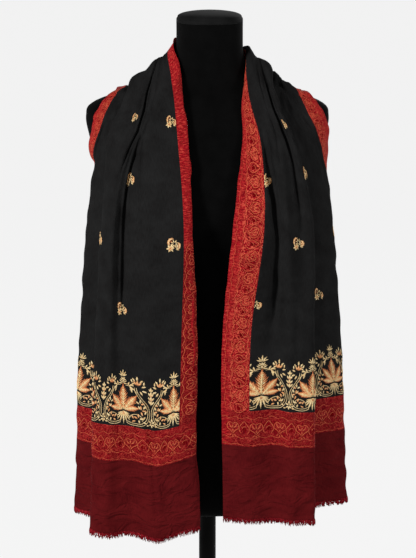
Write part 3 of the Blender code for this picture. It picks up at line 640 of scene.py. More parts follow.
def weaveNormal(tree, place, strength, crumple):  # crossing ribs and slubs on a soft crumple
    ribs = []
    for turn, share in ((0.6, 0.6), (-0.9, 0.4)):
        wave = addNode(tree, "ShaderNodeTexWave",
                       {"Vector": mapped(tree, place, turn), "Scale": 0.314 / clothColours["weavePitch"],
                        "Distortion": 0.6, "Detail": 1.0})
        ribs.append(times(tree, wave.outputs["Fac"], share))
    height = calculate(tree, "ADD", calculate(tree, "ADD", *ribs), noise(tree, place, 0.35, 3.0))
    soft = noise(tree, mapped(tree, place, 0.35, (0.026, 0.050, 1.0)), 1.0, 2.0, 1.6)
    return bumped(tree, height, strength, 0.00035, Normal=bumped(tree, soft, 1.0, crumple))


def woolMaterial(name, darker, lighter, crumple):
    material, tree, shader = startMaterial(name, 0.90, 0.0, 0.02)
    place = clothPlace(tree)
    fine = noise(tree, mapped(tree, place, scale=(1.0, 0.12, 1.0)), 0.9, 4.0)
    both = times(tree, calculate(tree, "ADD", fine, noise(tree, place, 0.03, 3.0)), 0.5)
    wire(tree, shader, {"Base Color": overlay(tree, darker, lighter, both, 0.32, 0.68),
                        "Normal": weaveNormal(tree, place, 0.35, crumple)})
    return material


def borderMaterial():
    material, tree, shader = startMaterial("borderWeave", 0.85, 0.03, 0.05)
    dark, red, lively, orange = (clothColours[name] for name in ("dark", "red", "lively", "orange"))
    place = clothPlace(tree)
    part = addNode(tree, "ShaderNodeSeparateXYZ", {"Vector": place}).outputs

    def ramp(axis, low, high):
        return stepRange(tree, part[axis], low, high)

    lines = calculate(tree, "SINE", times(tree, noise(tree, place, 0.085, 1.0, 1.4), 44.0))
    colour = overlay(tree, red, lively, noise(tree, place, 0.05, 2.0), 0.38, 0.62)
    colour = overlay(tree, colour, dark, noise(tree, place, 0.34, 2.0), 0.52, 0.66, 0.75)
    colour = overlay(tree, colour, dark, lines, -0.55, -0.95, 0.80)
    # painted shade: the end borders and the low part of the left inner border are mixed toward dark red to
    # stand in for shade
    endShade = stepRange(tree, calculate(tree, "ABSOLUTE", part["Y"]), 742.5, 744.5)
    lowLeftShade = times(tree, ramp("Y", -452.0, -480.0), ramp("X", 56.0, 50.0))
    paintedShade = calculate(tree, "MAXIMUM", endShade, lowLeftShade)
    colour = mixColour(tree, times(tree, paintedShade, 0.42), colour, dark)
    # painted shade also dims the orange lines on the end borders and the low left inner border
    bright = times(tree, stepRange(tree, lines, 0.45, 0.92),
                   calculate(tree, "SUBTRACT", 0.85, times(tree, paintedShade, 0.55)))
    colour = mixColour(tree, bright, colour, orange)
    # toward the selvage the ground is plainer, and high on the left only that edge shows from under the fold
    tucked = times(tree, ramp("Y", -466.0, -448.0), ramp("Y", -98.0, -118.0), ramp("X", 60.0, 50.0))
    patterned = times(tree, ramp("X", 9.0, 18.0), ramp("X", 691.0, 682.0),
                      calculate(tree, "SUBTRACT", 1.0, tucked))
    dashes = noise(tree, mapped(tree, place, scale=(0.14, 0.55, 1.0)), 1.0, 2.0)
    plainer = overlay(tree, lively, dark, dashes, 0.44, 0.60, 0.75)
    plainer = overlay(tree, plainer, orange, dashes, 0.44, 0.34, 0.55)
    colour = mixColour(tree, calculate(tree, "ADD", times(tree, patterned, 0.80), 0.20), plainer, colour)
    wire(tree, shader, {"Base Color": colour, "Normal": weaveNormal(tree, place, 0.3, 0.0015)})
    return material


fieldWool = woolMaterial("fieldWool", *clothColours["field"], 0.0012)
plainWool = woolMaterial("plainWool", *clothColours["plain"], 0.0062)
borderWeave = borderMaterial()


def makeShell(name):
    out = (normals * cloth["thickness"] / 2).reshape(-1, 3)
    points = grid.reshape(-1, 3)
    index = np.arange(len(points)).reshape(grid.shape[:2])
    a, b, c, d = (part.ravel() for part in (index[:-1, :-1], index[:-1, 1:], index[1:, 1:], index[1:, :-1]))
    rim = np.concatenate((index[0], index[1:, -1], index[-1, -2::-1], index[-2:0:-1, 0]))
    after = np.roll(rim, -1)
    below = index.size
    faces = np.concatenate((np.stack((a, b, c, d), axis=1), np.stack((a, d, c, b), axis=1) + below,
                            np.stack((rim, rim + below, after + below, after), axis=1)))
    mesh = newMesh(name, np.concatenate((points + out, points - out)), faces.tolist())
    flat = np.tile(np.stack((across.ravel(), along.ravel()), axis=1), (2, 1))
    corners = np.zeros(len(mesh.loops), dtype=np.int32)
    mesh.loops.foreach_get("vertex_index", corners)
    mesh.uv_layers.new(name="clothMap").data.foreach_set("uv", flat[corners].ravel())
    placeAcross, placeAlong = np.abs(flat[faces].mean(axis=1)).T
    inside = cloth["width"] / 2 - cloth["sideBorder"]
    border = (np.abs(placeAcross - cloth["width"] / 2) > inside) | (placeAlong > cloth["bandTop"])
    finish = np.where(placeAlong > cloth["plainTop"], 2, border).astype(np.int32)
    piece = newPiece(name, mesh, fieldWool, borderWeave, plainWool)
    mesh.polygons.foreach_set("material_index", finish)
    return piece


shawlCloth = makeShell("shawlCloth")
print("cloth shell made")


# the flat cloth as a map: a point (minus the place across, the place along, height) goes to the draped cloth

clothMap = {"reach": 0.016, "columns": 1401, "overhang": 12}


def clothTable():
    reach, overhang = clothMap["reach"], clothMap["overhang"]
    rows, places = [], []
    for row, inside, sign in ((0, 1, -1), (-1, -2, 1)):
        rows.append((grid[row] + unit(grid[row] - grid[inside]) * reach)[None])
        places.append([along[row, 0] + sign * reach])
    rows = np.concatenate((rows[0], grid, rows[1]))
    places = np.concatenate((places[0], along[:, 0], places[1]))
    spread = np.concatenate((across[:1], across, across[-1:]))
    outs = np.concatenate((normals[:1], normals, normals[-1:]))
    columns = np.linspace(0.0, cloth["width"], clothMap["columns"])
    points, ways = (np.stack([[np.interp(columns, spread[r], table[r, :, axis]) for r in range(len(rows))]
                              for axis in range(3)], axis=2) for table in (rows, outs))
    first = points[:, :1] + (points[:, :1] - points[:, 1:2]) * overhang
    last = points[:, -1:] + (points[:, -1:] - points[:, -2:-1]) * overhang
    points = np.concatenate((first, points, last), axis=1)
    ways = np.concatenate((ways[:, :1], ways, ways[:, -1:]), axis=1)
    step = columns[1] * overhang
    return points, ways, places, np.concatenate(([-step], columns, [cloth["width"] + step]))


tablePoints, tableWays, tableRows, tableColumns = clothTable()


def placeOnCloth(flat):
    row = np.interp(flat[:, 1], tableRows, np.arange(len(tableRows)))
    column = np.interp(-flat[:, 0], tableColumns, np.arange(len(tableColumns)))
    r = np.minimum(row.astype(int), len(tableRows) - 2)
    c = np.minimum(column.astype(int), len(tableColumns) - 2)
    y, x = (row - r)[:, None], (column - c)[:, None]

    def read(table):
        return ((1 - y) * ((1 - x) * table[r, c] + x * table[r, c + 1])
                + y * ((1 - x) * table[r + 1, c] + x * table[r + 1, c + 1]))

    return read(tablePoints) + unit(read(tableWays)) * (flat[:, 2:] + cloth["thickness"] / 2)


# threads: strokes with a ridged section, in mm, joined into one motif of each colour

thread = {"root": 0.15, "evenCrest": 0.35, "petalShares": (0.0, 0.3, 0.68, 1.0),
          "petalWidths": (0.45, 1.0, 0.95, 0.15), "lineEnds": 0.45}


def threadMesh(name, strokes):
    vertices, faces = [], []
    for points, widths, height, lift in strokes:
        first = len(vertices)
        widest = max(widths)
        for p, n, w in zip(points, sideways(points), widths):
            share = thread["evenCrest"] + (1.0 - thread["evenCrest"]) * w / widest
            vertices += [(*(p + n * w / 2), lift - thread["root"]), (*(p - n * w / 2), lift - thread["root"]),
                         (*p, lift + height * share)]
        last = len(vertices) - 3
        for a in range(first, last, 3):
            faces += [(a, a + 1, a + 4, a + 3), (a + 1, a + 2, a + 5, a + 4), (a + 2, a, a + 3, a + 5)]
        faces += [(first, first + 2, first + 1), (last, last + 1, last + 2)]
    return newMesh(name, toMetres(vertices), faces, manyParts=True)


def sideways(path):
    ahead = unit(np.gradient(path, axis=0))
    return np.stack((-ahead[:, 1], ahead[:, 0]), axis=1)


def toward(turn):
    return np.array([math.cos(math.radians(turn)), math.sin(math.radians(turn))])


def petal(x, y, turn, length, width, height=0.5):
    points = np.array([x, y]) + np.array(thread["petalShares"])[:, None] * length * toward(turn)
    return points, width * np.array(thread["petalWidths"]), height, 0.0


def petals(rows, height=0.5):
    return [petal(*row, height) for row in rows]


def line(points, width, height=0.45, lift=0.0, step=2.6, beside=0.0):
    points = np.asarray(points, float)
    knots = np.concatenate(([0.0], np.cumsum(np.linalg.norm(np.diff(points, axis=0), axis=1))))
    count = max(3, int(round(knots[-1] / step)) + 1)
    path = curve(knots, points, np.linspace(0.0, knots[-1], count), free=True)
    widths = np.full(count, float(width))
    widths[[0, -1]] *= thread["lineEnds"]
    return path + beside * sideways(path), widths, height, lift


def ringOf(x, y, radius, turns, length, width, height=0.5):  # petals round a middle
    middle = np.array([x, y])
    return petals([(*(middle + radius * toward(turn)), turn, length, width) for turn in turns], height)


def flower(x, y, count, length, width, turn=90.0, height=0.5):
    return ringOf(x, y, 0.5, [turn + 360.0 * k / count for k in range(count)], length, width, height)


def bothSides(rows, fuller=1.0):              # rows off the middle get a mirror image
    rows = [(x, y, turn, length * (0.4 + 0.6 * fuller), width * fuller) for x, y, turn, length, width in rows]
    return rows + [(-x, y, 180.0 - turn, length, width) for x, y, turn, length, width in rows if x]


def mirrorPath(path):
    return [(-x, y) for x, y in path]


# strewing: one motif set on many places of the flat cloth

def strewTree():
    tree = bpy.data.node_groups.new("strewMotif", "GeometryNodeTree")
    sockets = [tree.interface.new_socket(name, in_out=way, socket_type="NodeSocket" + kind).identifier
               for name, way, kind in (("Geometry", "INPUT", "Geometry"), ("Motif", "INPUT", "Object"),
                                       ("Thread", "INPUT", "Material"), ("Geometry", "OUTPUT", "Geometry"))]
    start = addNode(tree, "NodeGroupInput").outputs
    info = addNode(tree, "GeometryNodeObjectInfo", {"Object": start["Motif"]})
    turn, size = (addNode(tree, "GeometryNodeInputNamedAttribute", {"Name": name}, data_type="FLOAT_VECTOR")
                  .outputs["Attribute"] for name in ("turn", "size"))
    spin = addNode(tree, "FunctionNodeEulerToRotation", {"Euler": turn})
    strewn = addNode(tree, "GeometryNodeInstanceOnPoints",
                     {"Points": start["Geometry"], "Instance": info.outputs["Geometry"],
                      "Rotation": spin.outputs["Rotation"], "Scale": size})
    realized = addNode(tree, "GeometryNodeRealizeInstances", {"Geometry": strewn.outputs["Instances"]})
    finished = addNode(tree, "GeometryNodeSetMaterial",
                       {"Geometry": realized.outputs["Geometry"], "Material": start["Thread"]})
    addNode(tree, "NodeGroupOutput", {"Geometry": finished.outputs["Geometry"]})
    return tree, sockets[1], sockets[2]


strewNodes, motifSocket, threadSocket = strewTree()


def strew(strokes, places, material, keepBetween=None):
    # places: rows of (place across, place along, turn in degrees, size across, size along)
    places = np.asarray(places, float)
    motif = newPiece("motif", threadMesh("motif", strokes))
    mesh = bpy.data.meshes.new("strewPoints")
    mesh.from_pydata((places * (-1, 1, 0, 0, 0))[:, :3].tolist(), [], [])
    for name, values in (("turn", np.radians(places[:, 2:3]) * (0.0, 0.0, 1.0)),
                         ("size", np.column_stack((places[:, 3:], np.ones(len(places)))))):
        mesh.attributes.new(name, "FLOAT_VECTOR", "POINT").data.foreach_set("vector", values.ravel())
    holder = newPiece("strewHolder", mesh)
    modifier = holder.modifiers.new("strew", "NODES")
    modifier.node_group = strewNodes
    modifier[motifSocket] = motif
    modifier[threadSocket] = material
    view = bpy.context.evaluated_depsgraph_get()
    result = bpy.data.meshes.new_from_object(holder.evaluated_get(view))
    holder.modifiers.clear()
    for item in (motif, holder):
        bpy.data.objects.remove(item, do_unlink=True)
    if keepBetween:
        trimThreads(result, *keepBetween)
    flat = np.empty(len(result.vertices) * 3)
    result.vertices.foreach_get("co", flat)
    result.vertices.foreach_set("co", placeOnCloth(flat.reshape(-1, 3)).ravel())
    result.update()
    return result


def trimThreads(mesh, nearest, furthest):     # cuts threads off at two places across the cloth
    work = bmesh.new()
    work.from_mesh(mesh)
    for place, way in ((nearest, 1.0), (furthest, -1.0)):
        everything = work.verts[:] + work.edges[:] + work.faces[:]
        cut = bmesh.ops.bisect_plane(work, geom=everything, plane_co=(-place, 0, 0), plane_no=(way, 0, 0),
                                     clear_outer=True)
        edges = [part for part in cut["geom_cut"] if isinstance(part, bmesh.types.BMEdge) and part.is_boundary]
        bmesh.ops.holes_fill(work, edges=edges, sides=12)
    work.to_mesh(mesh)
    work.free()


def joinThreads(name, meshes, material):
    work = bmesh.new()
    for mesh in meshes:
        work.from_mesh(mesh)
    bmesh.ops.triangulate(work, faces=[face for face in work.faces if len(face.verts) > 4])
    joined = bpy.data.meshes.new(name)
    work.to_mesh(joined)
    work.free()
    joined.materials.clear()
    piece = newPiece(name, joined, material)
    joined.polygons.foreach_set("material_index", np.zeros(len(joined.polygons), dtype=np.int32))
    joined.shade_smooth()
    return piece


def threadMaterial(name, darker, lighter, roughness=0.6, sheen=0.06, specular=0.2):
    return fineMaterial(name, tint(*darker), tint(*lighter), roughness, sheen, specular,
                        (260.0, 3.0, 0.35, 0.65), (1600.0, 0.4))


threadFinish = {
    "cream": threadMaterial("creamSilk", (232, 194, 134), (255, 230, 176)),
    "peach": threadMaterial("peachSilk", (232, 158, 98), (250, 192, 134)),
    "rust": threadMaterial("rustSilk", (190, 100, 54), (220, 130, 76)),
    "orange": threadMaterial("orangeWeave", (198, 78, 48), (222, 112, 70), 0.75),
    "maroon": threadMaterial("maroonWeave", (98, 4, 10), (130, 10, 16), 0.95, 0.0, 0.0),
    "pale": threadMaterial("paleWeave", (196, 84, 58), (218, 110, 80), 0.85, 0.0, 0.02),
}
sewn = {colour: [] for colour in threadFinish}
wholeCloth = (0.0005, cloth["width"] - 0.0005)
insideBorders = (cloth["sideBorder"] + 0.0005, cloth["width"] - cloth["sideBorder"] - 0.0005)


def sew(strokes, places, limits):             # strokes: a list for each colour
    for colour, rows in strokes.items():
        sewn[colour].append(strew(rows, places, threadFinish[colour], limits))


# scattered flower sprigs on the field

sprig = {
    # mm: place along the cloth, and the places across of the sprigs in that row
    "left": ((65, (57, 213, 369, 525)), (165, (369, 447, 603)), (255, (161, 369, 525)), (269, (54,)),
             (362.5, (130, 447)), (457, (60.5, 213, 369, 525)), (562, (139.5, 447))),
    "right": ((65, (127, 283, 439, 595)), (165, (205, 361)), (273, (134, 439)), (361, (54, 206, 361, 511)),
              (465, (121.5, 283, 439, 595)), (569, (45.5, 205, 361, 518))),
    # the dark heart: x, y, radius, turns, length and width of the petals round it
    "heart": (0.5, 4.4, 1.7, range(20, 380, 45), 4.2, 2.4),
    # x, y, turn, length, width of each petal beside it
    "fan": ((3.4, -2, 2, 5.8, 2.6), (3.4, -0.6, 34, 6, 2.6), (3.4, -3.2, -26, 4.8, 2.4)),
    "crescents": (((-1, 11.2), (-4.4, 11.6), (-7, 9.2), (-7.8, 5.6), (-6.4, 1.6)),
                  ((6.2, 6), (8.2, 3.4), (8.4, -0.4), (6.8, -4))),
    "accents": (((-1.8, 9), (-4.2, 8), (-5, 5.4)), ((5.6, 3.4), (6.4, 1), (5.6, -2.2))),
    "seed": 3,
    "lean": 5,
    "sizes": (0.94, 1.06),
}


def sewSprigs():
    chance = np.random.default_rng(sprig["seed"])
    places = [(spot / 1000.0, side * place / 1000.0, turn + chance.uniform(-sprig["lean"], sprig["lean"]),
               chance.uniform(*sprig["sizes"]), chance.uniform(*sprig["sizes"]))
              for side, turn, rows in ((-1, 0, sprig["left"]), (1, 180, sprig["right"]))
              for place, spots in rows for spot in spots]
    cream = ringOf(*sprig["heart"]) + flower(-4.6, -2.6, 6, 5.4, 4.0, 72) + petals(sprig["fan"])
    cream += [line(path, 1.5, 0.9) for path in sprig["crescents"]]
    peach = [line(path, 4.4) for path in sprig["crescents"]] + flower(-4.6, -2.6, 5, 2.6, 2.4, height=0.9)
    rust = [line(path, 1.2, 0.9) for path in sprig["accents"]]
    sew({"cream": cream, "peach": peach, "rust": rust}, places, insideBorders)
    print("sprigs sewn:", len(places))


sewSprigs()


# band of big leaves and scrolls above the end border

leafBand = {
    "pitch": 0.0835,
    # side, turn, first leaf, pitch behind the front
    "rows": ((-1, 0, 0.0560, 0.0875), (1, 180, 0.0615, 0.0766)),
    "offBorder": 0.0015,
    "fuller": 1.22,
    # base x and y, tip x and y, widest
    "lobes": ((0, 23.6, 0, 65, 15.5), (1, 23.6, 22.5, 49.5, 12.5), (-1, 23.6, -22.5, 49.5, 12.5),
              (1.6, 24.6, 25.5, 29.5, 9), (-1.6, 24.6, -25.5, 29.5, 9)),
    "lobeOutline": ((0.00, 0.30), (0.18, 0.46), (0.34, 0.92), (0.40, 0.80), (0.55, 1.00), (0.62, 0.74),
                    (0.78, 0.58), (0.88, 0.34), (1.00, 0.12)),
    # stitches of a lobe: colour, share of the slant, length as a share, width, height, on every nth pair
    "stitches": (("rust", 1, 1.16, 3.5, 0.30, 1), ("peach", 1, 0.88, 2.9, 0.52, 1),
                 ("cream", 0.9, 0.74, 2.1, 0.80, 2)),
    "stitchPairs": 9,
    "stitchFrom": 0.08,               # shares of the lobe's length
    "stitchUntil": 0.82,
    "stitchAhead": 0.11,
    "shortestStitch": 2.2,
    "slant": 44,
    "slantLess": 8,
    # colour, start and length as shares, width and height of the stitches at the tip; then the vein
    "tips": (("rust", 0.76, 0.27, 3.6, 0.32), ("peach", 0.76, 0.20, 2.6, 0.55)),
    "vein": ((0.02, 0.45, 0.82), 3, 0.95),
    "rosette": ((0, 22, -90, 20.8, 3.6), (0.6, 21.8, -71, 19.6, 3.4), (1, 21.6, -53, 17, 3.2),
                (1.4, 21.2, -36, 13.6, 2.9), (1.6, 20.8, -16, 9.4, 2.4)),
    "crown": ((0, 66, 90, 5, 2.3), (1.4, 65.4, 4, 6, 2), (1.4, 67, 34, 6, 1.9),
              (0, 71.2, 90, 4.4, 2.2), (1.2, 70.2, 30, 4.6, 1.9), (0.9, 71.4, 58, 4.8, 1.8),
              (0, 77.6, 90, 9, 2.4), (0.8, 77.4, 24, 6.6, 2), (0.7, 77.8, 56, 7.4, 2)),
    "sprigLeaves": ((9, 63.6, 66, 5.6, 2.6), (11, 63.4, 16, 5.6, 2.6), (12, 62, -48, 6.4, 2.6),
                    (15.5, 66, 40, 4.6, 2.6), (14, 58.2, -70, 5, 2.4)),
    # x, y, turn, length, width: middle and outer petals of the blooms, then fillers in two colours by turns
    "hearts": ((24, 66, 90, 7, 3.6), (22.6, 66.4, 128, 6.4, 3.2), (25.4, 66.4, 52, 6.4, 3.2)),
    "blooms": ((24, 73.6, 90, 6.4, 3), (20.6, 72.2, 128, 5.6, 2.8), (28, 71.4, 48, 5.6, 2.8),
               (18.6, 64, 168, 5.4, 2.8), (18, 59.4, 196, 5.4, 2.8), (30.4, 64.4, 22, 5.6, 3),
               (30.8, 59, -14, 6, 3.2), (27.4, 57.2, -52, 5.8, 3), (33.2, 68, 84, 5.2, 2.6),
               (16.6, 69.6, 112, 5.2, 2.6)),
    "fillers": ((27, 38.4, 84, 5.6, 2.8), (28.4, 36.6, 30, 5.2, 2.8), (25.4, 36.8, 148, 5, 2.8),
                (27.4, 34, -74, 5, 2.8), (31.6, 30.4, 58, 5.4, 3), (30, 27.6, -6, 5.2, 3),
                (27.2, 28.8, 126, 5, 2.8), (28.4, 25, -66, 5.2, 3), (33.4, 22, 72, 4.8, 2.6),
                (24.6, 15.2, 96, 5.4, 3.2), (26.4, 13.4, 22, 5, 3.2), (22.6, 13.2, 158, 5, 3.2),
                (24.8, 11.2, -78, 4.6, 3), (16.8, 11.8, 118, 5.2, 2.6), (31.4, 13.6, 66, 5, 2.6),
                (14.6, 6.8, 22, 4.8, 2.6), (31, 9.6, -28, 4.4, 2.4)),
    "scallop": ((6, 5.6), (12, 3.2), (20, 2.8), (28.6, 4.4), (35.2, 10.4), (38.6, 20.4), (37.4, 31.6),
                (32, 41.4), (25.4, 49.4), (21.4, 56), (20.4, 62)),
    "twig": ((24, 52), (19.6, 56.6), (15.4, 60.6), (9, 63.4), (4.6, 63)),
    "curl": ((9.6, 9.4), (12.4, 15.4), (18.8, 19), (26.8, 18.8), (31, 14.4), (29.4, 9.6)),
    # name, width and how far beside its path each line lies
    "lines": (("scallop", 1.25, (1.55, -1.55)), ("twig", 1.3, (0,)), ("curl", 1.3, (0,))),
    # between two leaves: the middle, and the petals beside it
    "coneMiddle": 43.5,
    "cone": ((0, 38, 90, 8, 3.6), (0.9, 39.6, 52, 6.4, 3), (0, 44.4, 90, 8.4, 3.8),
             (1.1, 45.4, 54, 6.4, 3), (0, 51.2, 90, 8.6, 3.6), (0.9, 51.8, 60, 6.6, 2.8),
             (0, 59.4, 90, 6.4, 3.2), (0.6, 59.6, 48, 4.4, 2.6), (0, 11.6, 90, 5.6, 3),
             (0.5, 9.6, 30, 5, 2.8), (0.5, 7.8, -32, 4.8, 2.8), (0, 6.8, 270, 4.4, 2.6),
             (4.9, 4.8, -16, 4, 2.4)),
}


def sewLobe(strokes, baseX, baseY, tipX, tipY, widest):
    base = np.array([baseX, baseY], float)
    reach = np.array([tipX, tipY], float) - base
    length = np.linalg.norm(reach)
    heading = math.degrees(math.atan2(reach[1], reach[0]))
    outline = np.array(leafBand["lobeOutline"])
    count = leafBand["stitchPairs"]
    for step in range(count):
        share = np.interp(step, (0, count - 1), (leafBand["stitchFrom"], leafBand["stitchUntil"]))
        slant = leafBand["slant"] - leafBand["slantLess"] * share
        halfWidth = widest / 2 * np.interp(share + leafBand["stitchAhead"], outline[:, 0], outline[:, 1])
        stretch = max(halfWidth / math.sin(math.radians(slant)), leafBand["shortestStitch"])
        for colour, turning, longer, width, height, every in leafBand["stitches"]:
            if step % every == every - 1:
                strokes[colour] += petals([(*(base + reach * share), heading + sign * slant * turning,
                                            stretch * longer, width) for sign in (1, -1)], height)
    for colour, share, longer, width, height in leafBand["tips"]:
        strokes[colour].append(petal(*(base + reach * share), heading, length * longer, width, height))
    shares, width, height = leafBand["vein"]
    strokes["cream"].append(line([base + reach * share for share in shares], width, height))


def sewLeafBand():
    top = cloth["bandTop"] - leafBand["offBorder"]
    pitch, fuller = leafBand["pitch"], leafBand["fuller"]
    places = []
    for side, turn, first, later in leafBand["rows"]:
        places += [(first + pitch * k, side * top, turn, 1, 1) for k in (-1, 0, 1)]
        places += [(first + pitch + later * k, side * top, turn, later / pitch, 1) for k in range(1, 7)]
    strokes = {"cream": petals(bothSides(leafBand["rosette"])), "peach": [], "rust": []}
    for row in leafBand["lobes"]:
        sewLobe(strokes, *row)
    for name in ("crown", "sprigLeaves", "blooms"):
        strokes["cream"] += petals(bothSides(leafBand[name], fuller))
    for rows, colour in ((leafBand["hearts"], "peach"), (leafBand["fillers"][::2], "cream"),
                         (leafBand["fillers"][1::2], "peach")):
        strokes[colour] += petals(bothSides(rows, fuller))
    cone, veins = ([(x + leafBand["coneMiddle"], *row) for x, *row in bothSides(rows)]
                   for rows in (leafBand["cone"], leafBand["cone"][2:6]))
    strokes["cream"] += petals([(*row[:4], row[4] * fuller) for row in cone])
    for name, width, gaps in leafBand["lines"]:
        for path in (leafBand[name], mirrorPath(leafBand[name])):
            strokes["cream"] += [line(path, width, beside=gap) for gap in gaps]
    veins += bothSides(leafBand["hearts"])
    strokes["rust"] += petals([(x, y, turn, length * 0.55, 1.2) for x, y, turn, length, _ in veins], 0.8)
    strokes["rust"] += flower(0, 19.0, 5, 2.0, 1.4, height=0.9)
    sew(strokes, places, insideBorders)
    print("leaf band sewn:", len(places), "leaves")


sewLeafBand()


# woven borders: flower heads and palmettes in turn, between wavy lines

border = {
    # mm: pitch and middle of the row, size of its figures, and place, swing and width of its wavy lines
    "side": (40, 30, 1, ((16.4, 1.4, 1.2), (41.6, 1.5, 1.3), (6, -1.2, 0.8))),
    "end": (700.0 / 19, 29, 1.08, ((44.6, 1.8, 1.1), (13.6, 1.4, 1.1), (2.4, 0.8, 1))),
    "height": 0.16,
    "tucked": range(-11, -2),         # there only the plainer edge shows
    # outline of the flower head, petals in it and below it, then outline and petals of the palmette
    "head": ((0, -9.6), (-3.4, -5.4), (-8.8, -1.2), (-8.4, 3.8), (-4.2, 7.4), (0, 4.8)),
    "headPetals": ((0, -1, 90, 5, 2.8), (1.4, -1.4, 40, 5.4, 2.8), (0, -2.6, -90, 4.6, 2.4),
                   (4.6, 1.4, 72, 4.4, 2.2)),
    "foot": ((0, -11, -90, 4, 2), (1.8, -10.2, -40, 4.4, 1.8)),
    "arch": ((-3.6, -8.6), (-7, -4.6), (-6.4, 1.6), (-3.4, 6), (0, 9.6)),
    "eye": ((0, -5, 90, 11.4, 4.8), (2.9, -4.4, 104, 9.4, 3.8)),
    "fleck": ((-3, -1.6), (-1.2, 1.6), (1, 2.4), (3.4, 1)),
}


def borderStrokes(pitch, middle, size, wavyLines):
    half, high = pitch / 2, border["height"]

    def placed(path, at, wider=1.0, taller=1.0):
        return [(x * size * wider + at, y * size * taller + middle) for x, y in path]

    def figure(name, at=0.0):
        return petals([(*placed([row[:2]], at)[0], row[2], row[3] * size, row[4] * size)
                       for row in bothSides(border[name])], high)

    head, arch = ((*border[name], *mirrorPath(border[name][-2::-1])) for name in ("head", "arch"))
    maroon = [line(placed(head, 0.0, 1.17, 1.15), 1.9 * size, high * 0.7),
              line(placed(arch, half, 1.24, 1.14), 1.4 * size, high * 0.7)]
    maroon += figure("eye", half)
    orange = [line(placed(head, 0.0), 1.7 * size, high), line(placed(arch, half), 1.5 * size, high)]
    orange += figure("headPetals") + figure("foot")
    pale = [line(placed(border["fleck"], half), 1.7 * size, high * 2)]
    for y, swing, width in wavyLines:
        wave = [(-half + pitch * k / 8, y + swing * math.sin(math.pi * k / 2)) for k in range(9)]
        orange.append(line(wave, width, high))
        maroon.append(line([(x, y + 1.5) for x, y in wave], width * 0.7, high * 0.6))
    return {"orange": orange, "maroon": maroon, "pale": pale}


def weaveBorders():
    side, end = [], []
    for k in range(-18, 19):
        place = k * border["side"][0] / 1000.0
        if k not in border["tucked"]:
            side.append((0.0, place, 90, 1, 1))
        side.append((cloth["width"], place, -90, 1, 1))
    for k in range(19):
        place = border["end"][0] * (k + 0.5) / 1000.0
        end += [(place, -cloth["plainTop"], 0, 1, 1), (place, cloth["plainTop"], 180, 1, 1)]
    for row, places in (("side", side), ("end", end)):
        sew(borderStrokes(*border[row]), places, wholeCloth)
    print("borders woven:", len(side), "and", len(end), "repeats")


weaveBorders()

threadPieces = []
for colour, meshes in sewn.items():
    threadPieces.append(joinThreads(colour + "Threads", meshes, threadFinish[colour]))
    print(colour, "threads:", len(threadPieces[-1].data.polygons), "faces")


# frayed fringe at both ends

fringe = {
    "spacing": 0.0006,
    "inset": 0.0006,
    "stray": 0.0003,
    "width": 1.3,
    "lean": 14.0,
    "sizes": (0.35, 1.12),
    "seed": 11,
    "bends": (((0, 2.4), (0.25, -3.0), (-0.35, -8.0)), ((0, 2.4), (-0.5, -3.4), (0.4, -8.0)),
              ((0, 2.4), (0.9, -3.2), (0.6, -8.0))),
}


def makeFringe():
    chance = np.random.default_rng(fringe["seed"])
    material = threadMaterial("fringeWool", (120, 18, 28), (164, 42, 50), 0.9, 0.0, 0.0)
    count = int(cloth["width"] / fringe["spacing"])
    root = cloth["halfLength"] - fringe["inset"]
    meshes = []
    for index, bend in enumerate(fringe["bends"]):
        places = []
        for k in range(index, count, len(fringe["bends"])):
            for end, turn in ((-1, 0), (1, 180)):
                lean = chance.normal(0.0, fringe["lean"])
                size = chance.uniform(*fringe["sizes"])
                place = fringe["inset"] + k * fringe["spacing"]
                place += chance.uniform(-fringe["stray"], fringe["stray"])
                places.append((place, end * root, turn + lean, 1, size))
        stroke = line(bend, fringe["width"], fringe["width"], -cloth["thickness"] * 500.0, 3.0)
        meshes.append(strew([stroke], places, material))
    return joinThreads("fringeStrands", meshes, material)


fringeStrands = makeFringe()
print("fringe made:", len(fringeStrands.data.polygons), "faces")


# dress form, cap and stand

def ring(height, halfWidth, halfDepth, middle=0.0, lean=0.0, power=1.0):
    angles = np.arange(form["sides"]) * 2 * math.pi / form["sides"]
    c, s = np.cos(angles), np.sin(angles)
    return np.stack((halfWidth * np.copysign(np.abs(c) ** power, c) + lean,
                     halfDepth * np.copysign(np.abs(s) ** power, s) + middle,
                     np.full(len(angles), height)), axis=1)


def formRing(height, shrink):
    halfWidth, halfDepth, middle, lean = formSections([height])[0]
    return ring(height, halfWidth - shrink, halfDepth - shrink, middle, lean, 2.0 / form["exponent"])


def ringStack(name, rings, material):
    count = len(rings[0])
    faces = [(row + step, row + (step + 1) % count, row + (step + 1) % count + count, row + step + count)
             for row in range(0, (len(rings) - 1) * count, count) for step in range(count)]
    last = (len(rings) - 1) * count
    faces += [tuple(reversed(range(count))), tuple(range(last, last + count))]
    mesh = newMesh(name, np.concatenate(rings), faces)
    mesh.set_sharp_from_angle(angle=math.radians(50))
    return newPiece(name, mesh, material)


def coverMaterial(name, darker, lighter, roughness):
    return fineMaterial(name, tint(*darker), tint(*lighter), roughness, 0.03, 0.05,
                        (45.0, 4.0, 0.3, 0.7), (1400.0, 0.3))


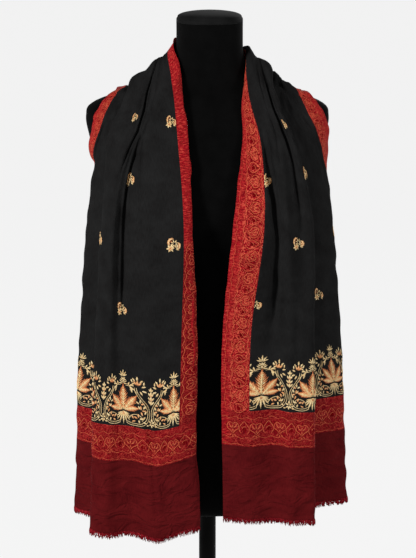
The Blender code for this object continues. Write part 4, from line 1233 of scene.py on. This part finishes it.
def makeForm():
    low, top = formTable[0, 0], formTable[-1, 0]
    # rings round the rounded hem (height, how far in), then up the torso, closer over the shoulders
    hem = ((0.0, 0.0060), (0.0015, 0.0036), (0.004, 0.0020), (0.008, 0.0006), (0.012, 0.0))
    heights = (*np.arange(low + 0.02, 1.060, 0.010), *np.arange(1.062, top - 0.001, 0.004), top)
    hole = form["socketRadius"]
    rings = [ring(low + form["socketDepth"], hole, hole), ring(low, hole, hole)]
    rings += [formRing(low + lift, shrink) for lift, shrink in hem]
    rings += [formRing(height, 0.0) for height in heights]
    torso = ringStack("formTorso", rings, coverMaterial("coverJersey", (4, 4, 4), (8, 8, 8), 0.95))
    halfWidth, halfDepth, middle, lean = formSections([top])[0]
    shoulder = form["capShoulder"]
    profile = [(1.0, 0.0), (1.0, 0.003), (0.992, 0.0048), (0.97, shoulder)]
    for angle in np.arange(1, 12) * math.pi / 24:
        rise = (form["capRise"] - shoulder) * math.sin(angle) ** 0.8
        profile.append((0.97 * math.cos(angle), shoulder + rise))
    rings = [ring(top + form["seamGap"] + lift, halfWidth * share, halfDepth * share, middle, lean)
             for share, lift in profile]
    return torso, ringStack("formCap", rings, coverMaterial("capCover", (16, 16, 16), (26, 26, 26), 0.7))


def steelMaterial():
    material, tree, shader = startMaterial("satinSteel", 0.5, 0.0, 0.04)
    wear = noise(tree, addNode(tree, "ShaderNodeTexCoord").outputs["Object"], 35.0, 5.0)
    wire(tree, shader, {"Base Color": mixColour(tree, wear, tint(3, 3, 2), tint(8, 8, 7)),
                        "Roughness": stepRange(tree, wear, 0.3, 0.7, 0.42, 0.58)})
    return material


formTorso, formCap = makeForm()
steel = steelMaterial()
for node in ("stand_base", "stand_pole"):
    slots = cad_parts[node].data.materials
    for index in range(len(slots)):
        slots[index] = steel
print("dress form made")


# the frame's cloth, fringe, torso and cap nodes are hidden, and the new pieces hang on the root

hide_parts("form_torso")
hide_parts("form_neck_cap")
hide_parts(*[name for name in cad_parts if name.split("_")[0] in
                          ("inner", "outer", "field", "end", "plain")])
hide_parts("fringe_left", "fringe_right")
for piece, slot in [(shawlCloth, "shawl_field"), (fringeStrands, "shawl_end"), (formTorso, "form_cover"),
                    (formCap, "form_cap")]:
    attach(piece, "root")
for piece in threadPieces:
    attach(piece, "root")
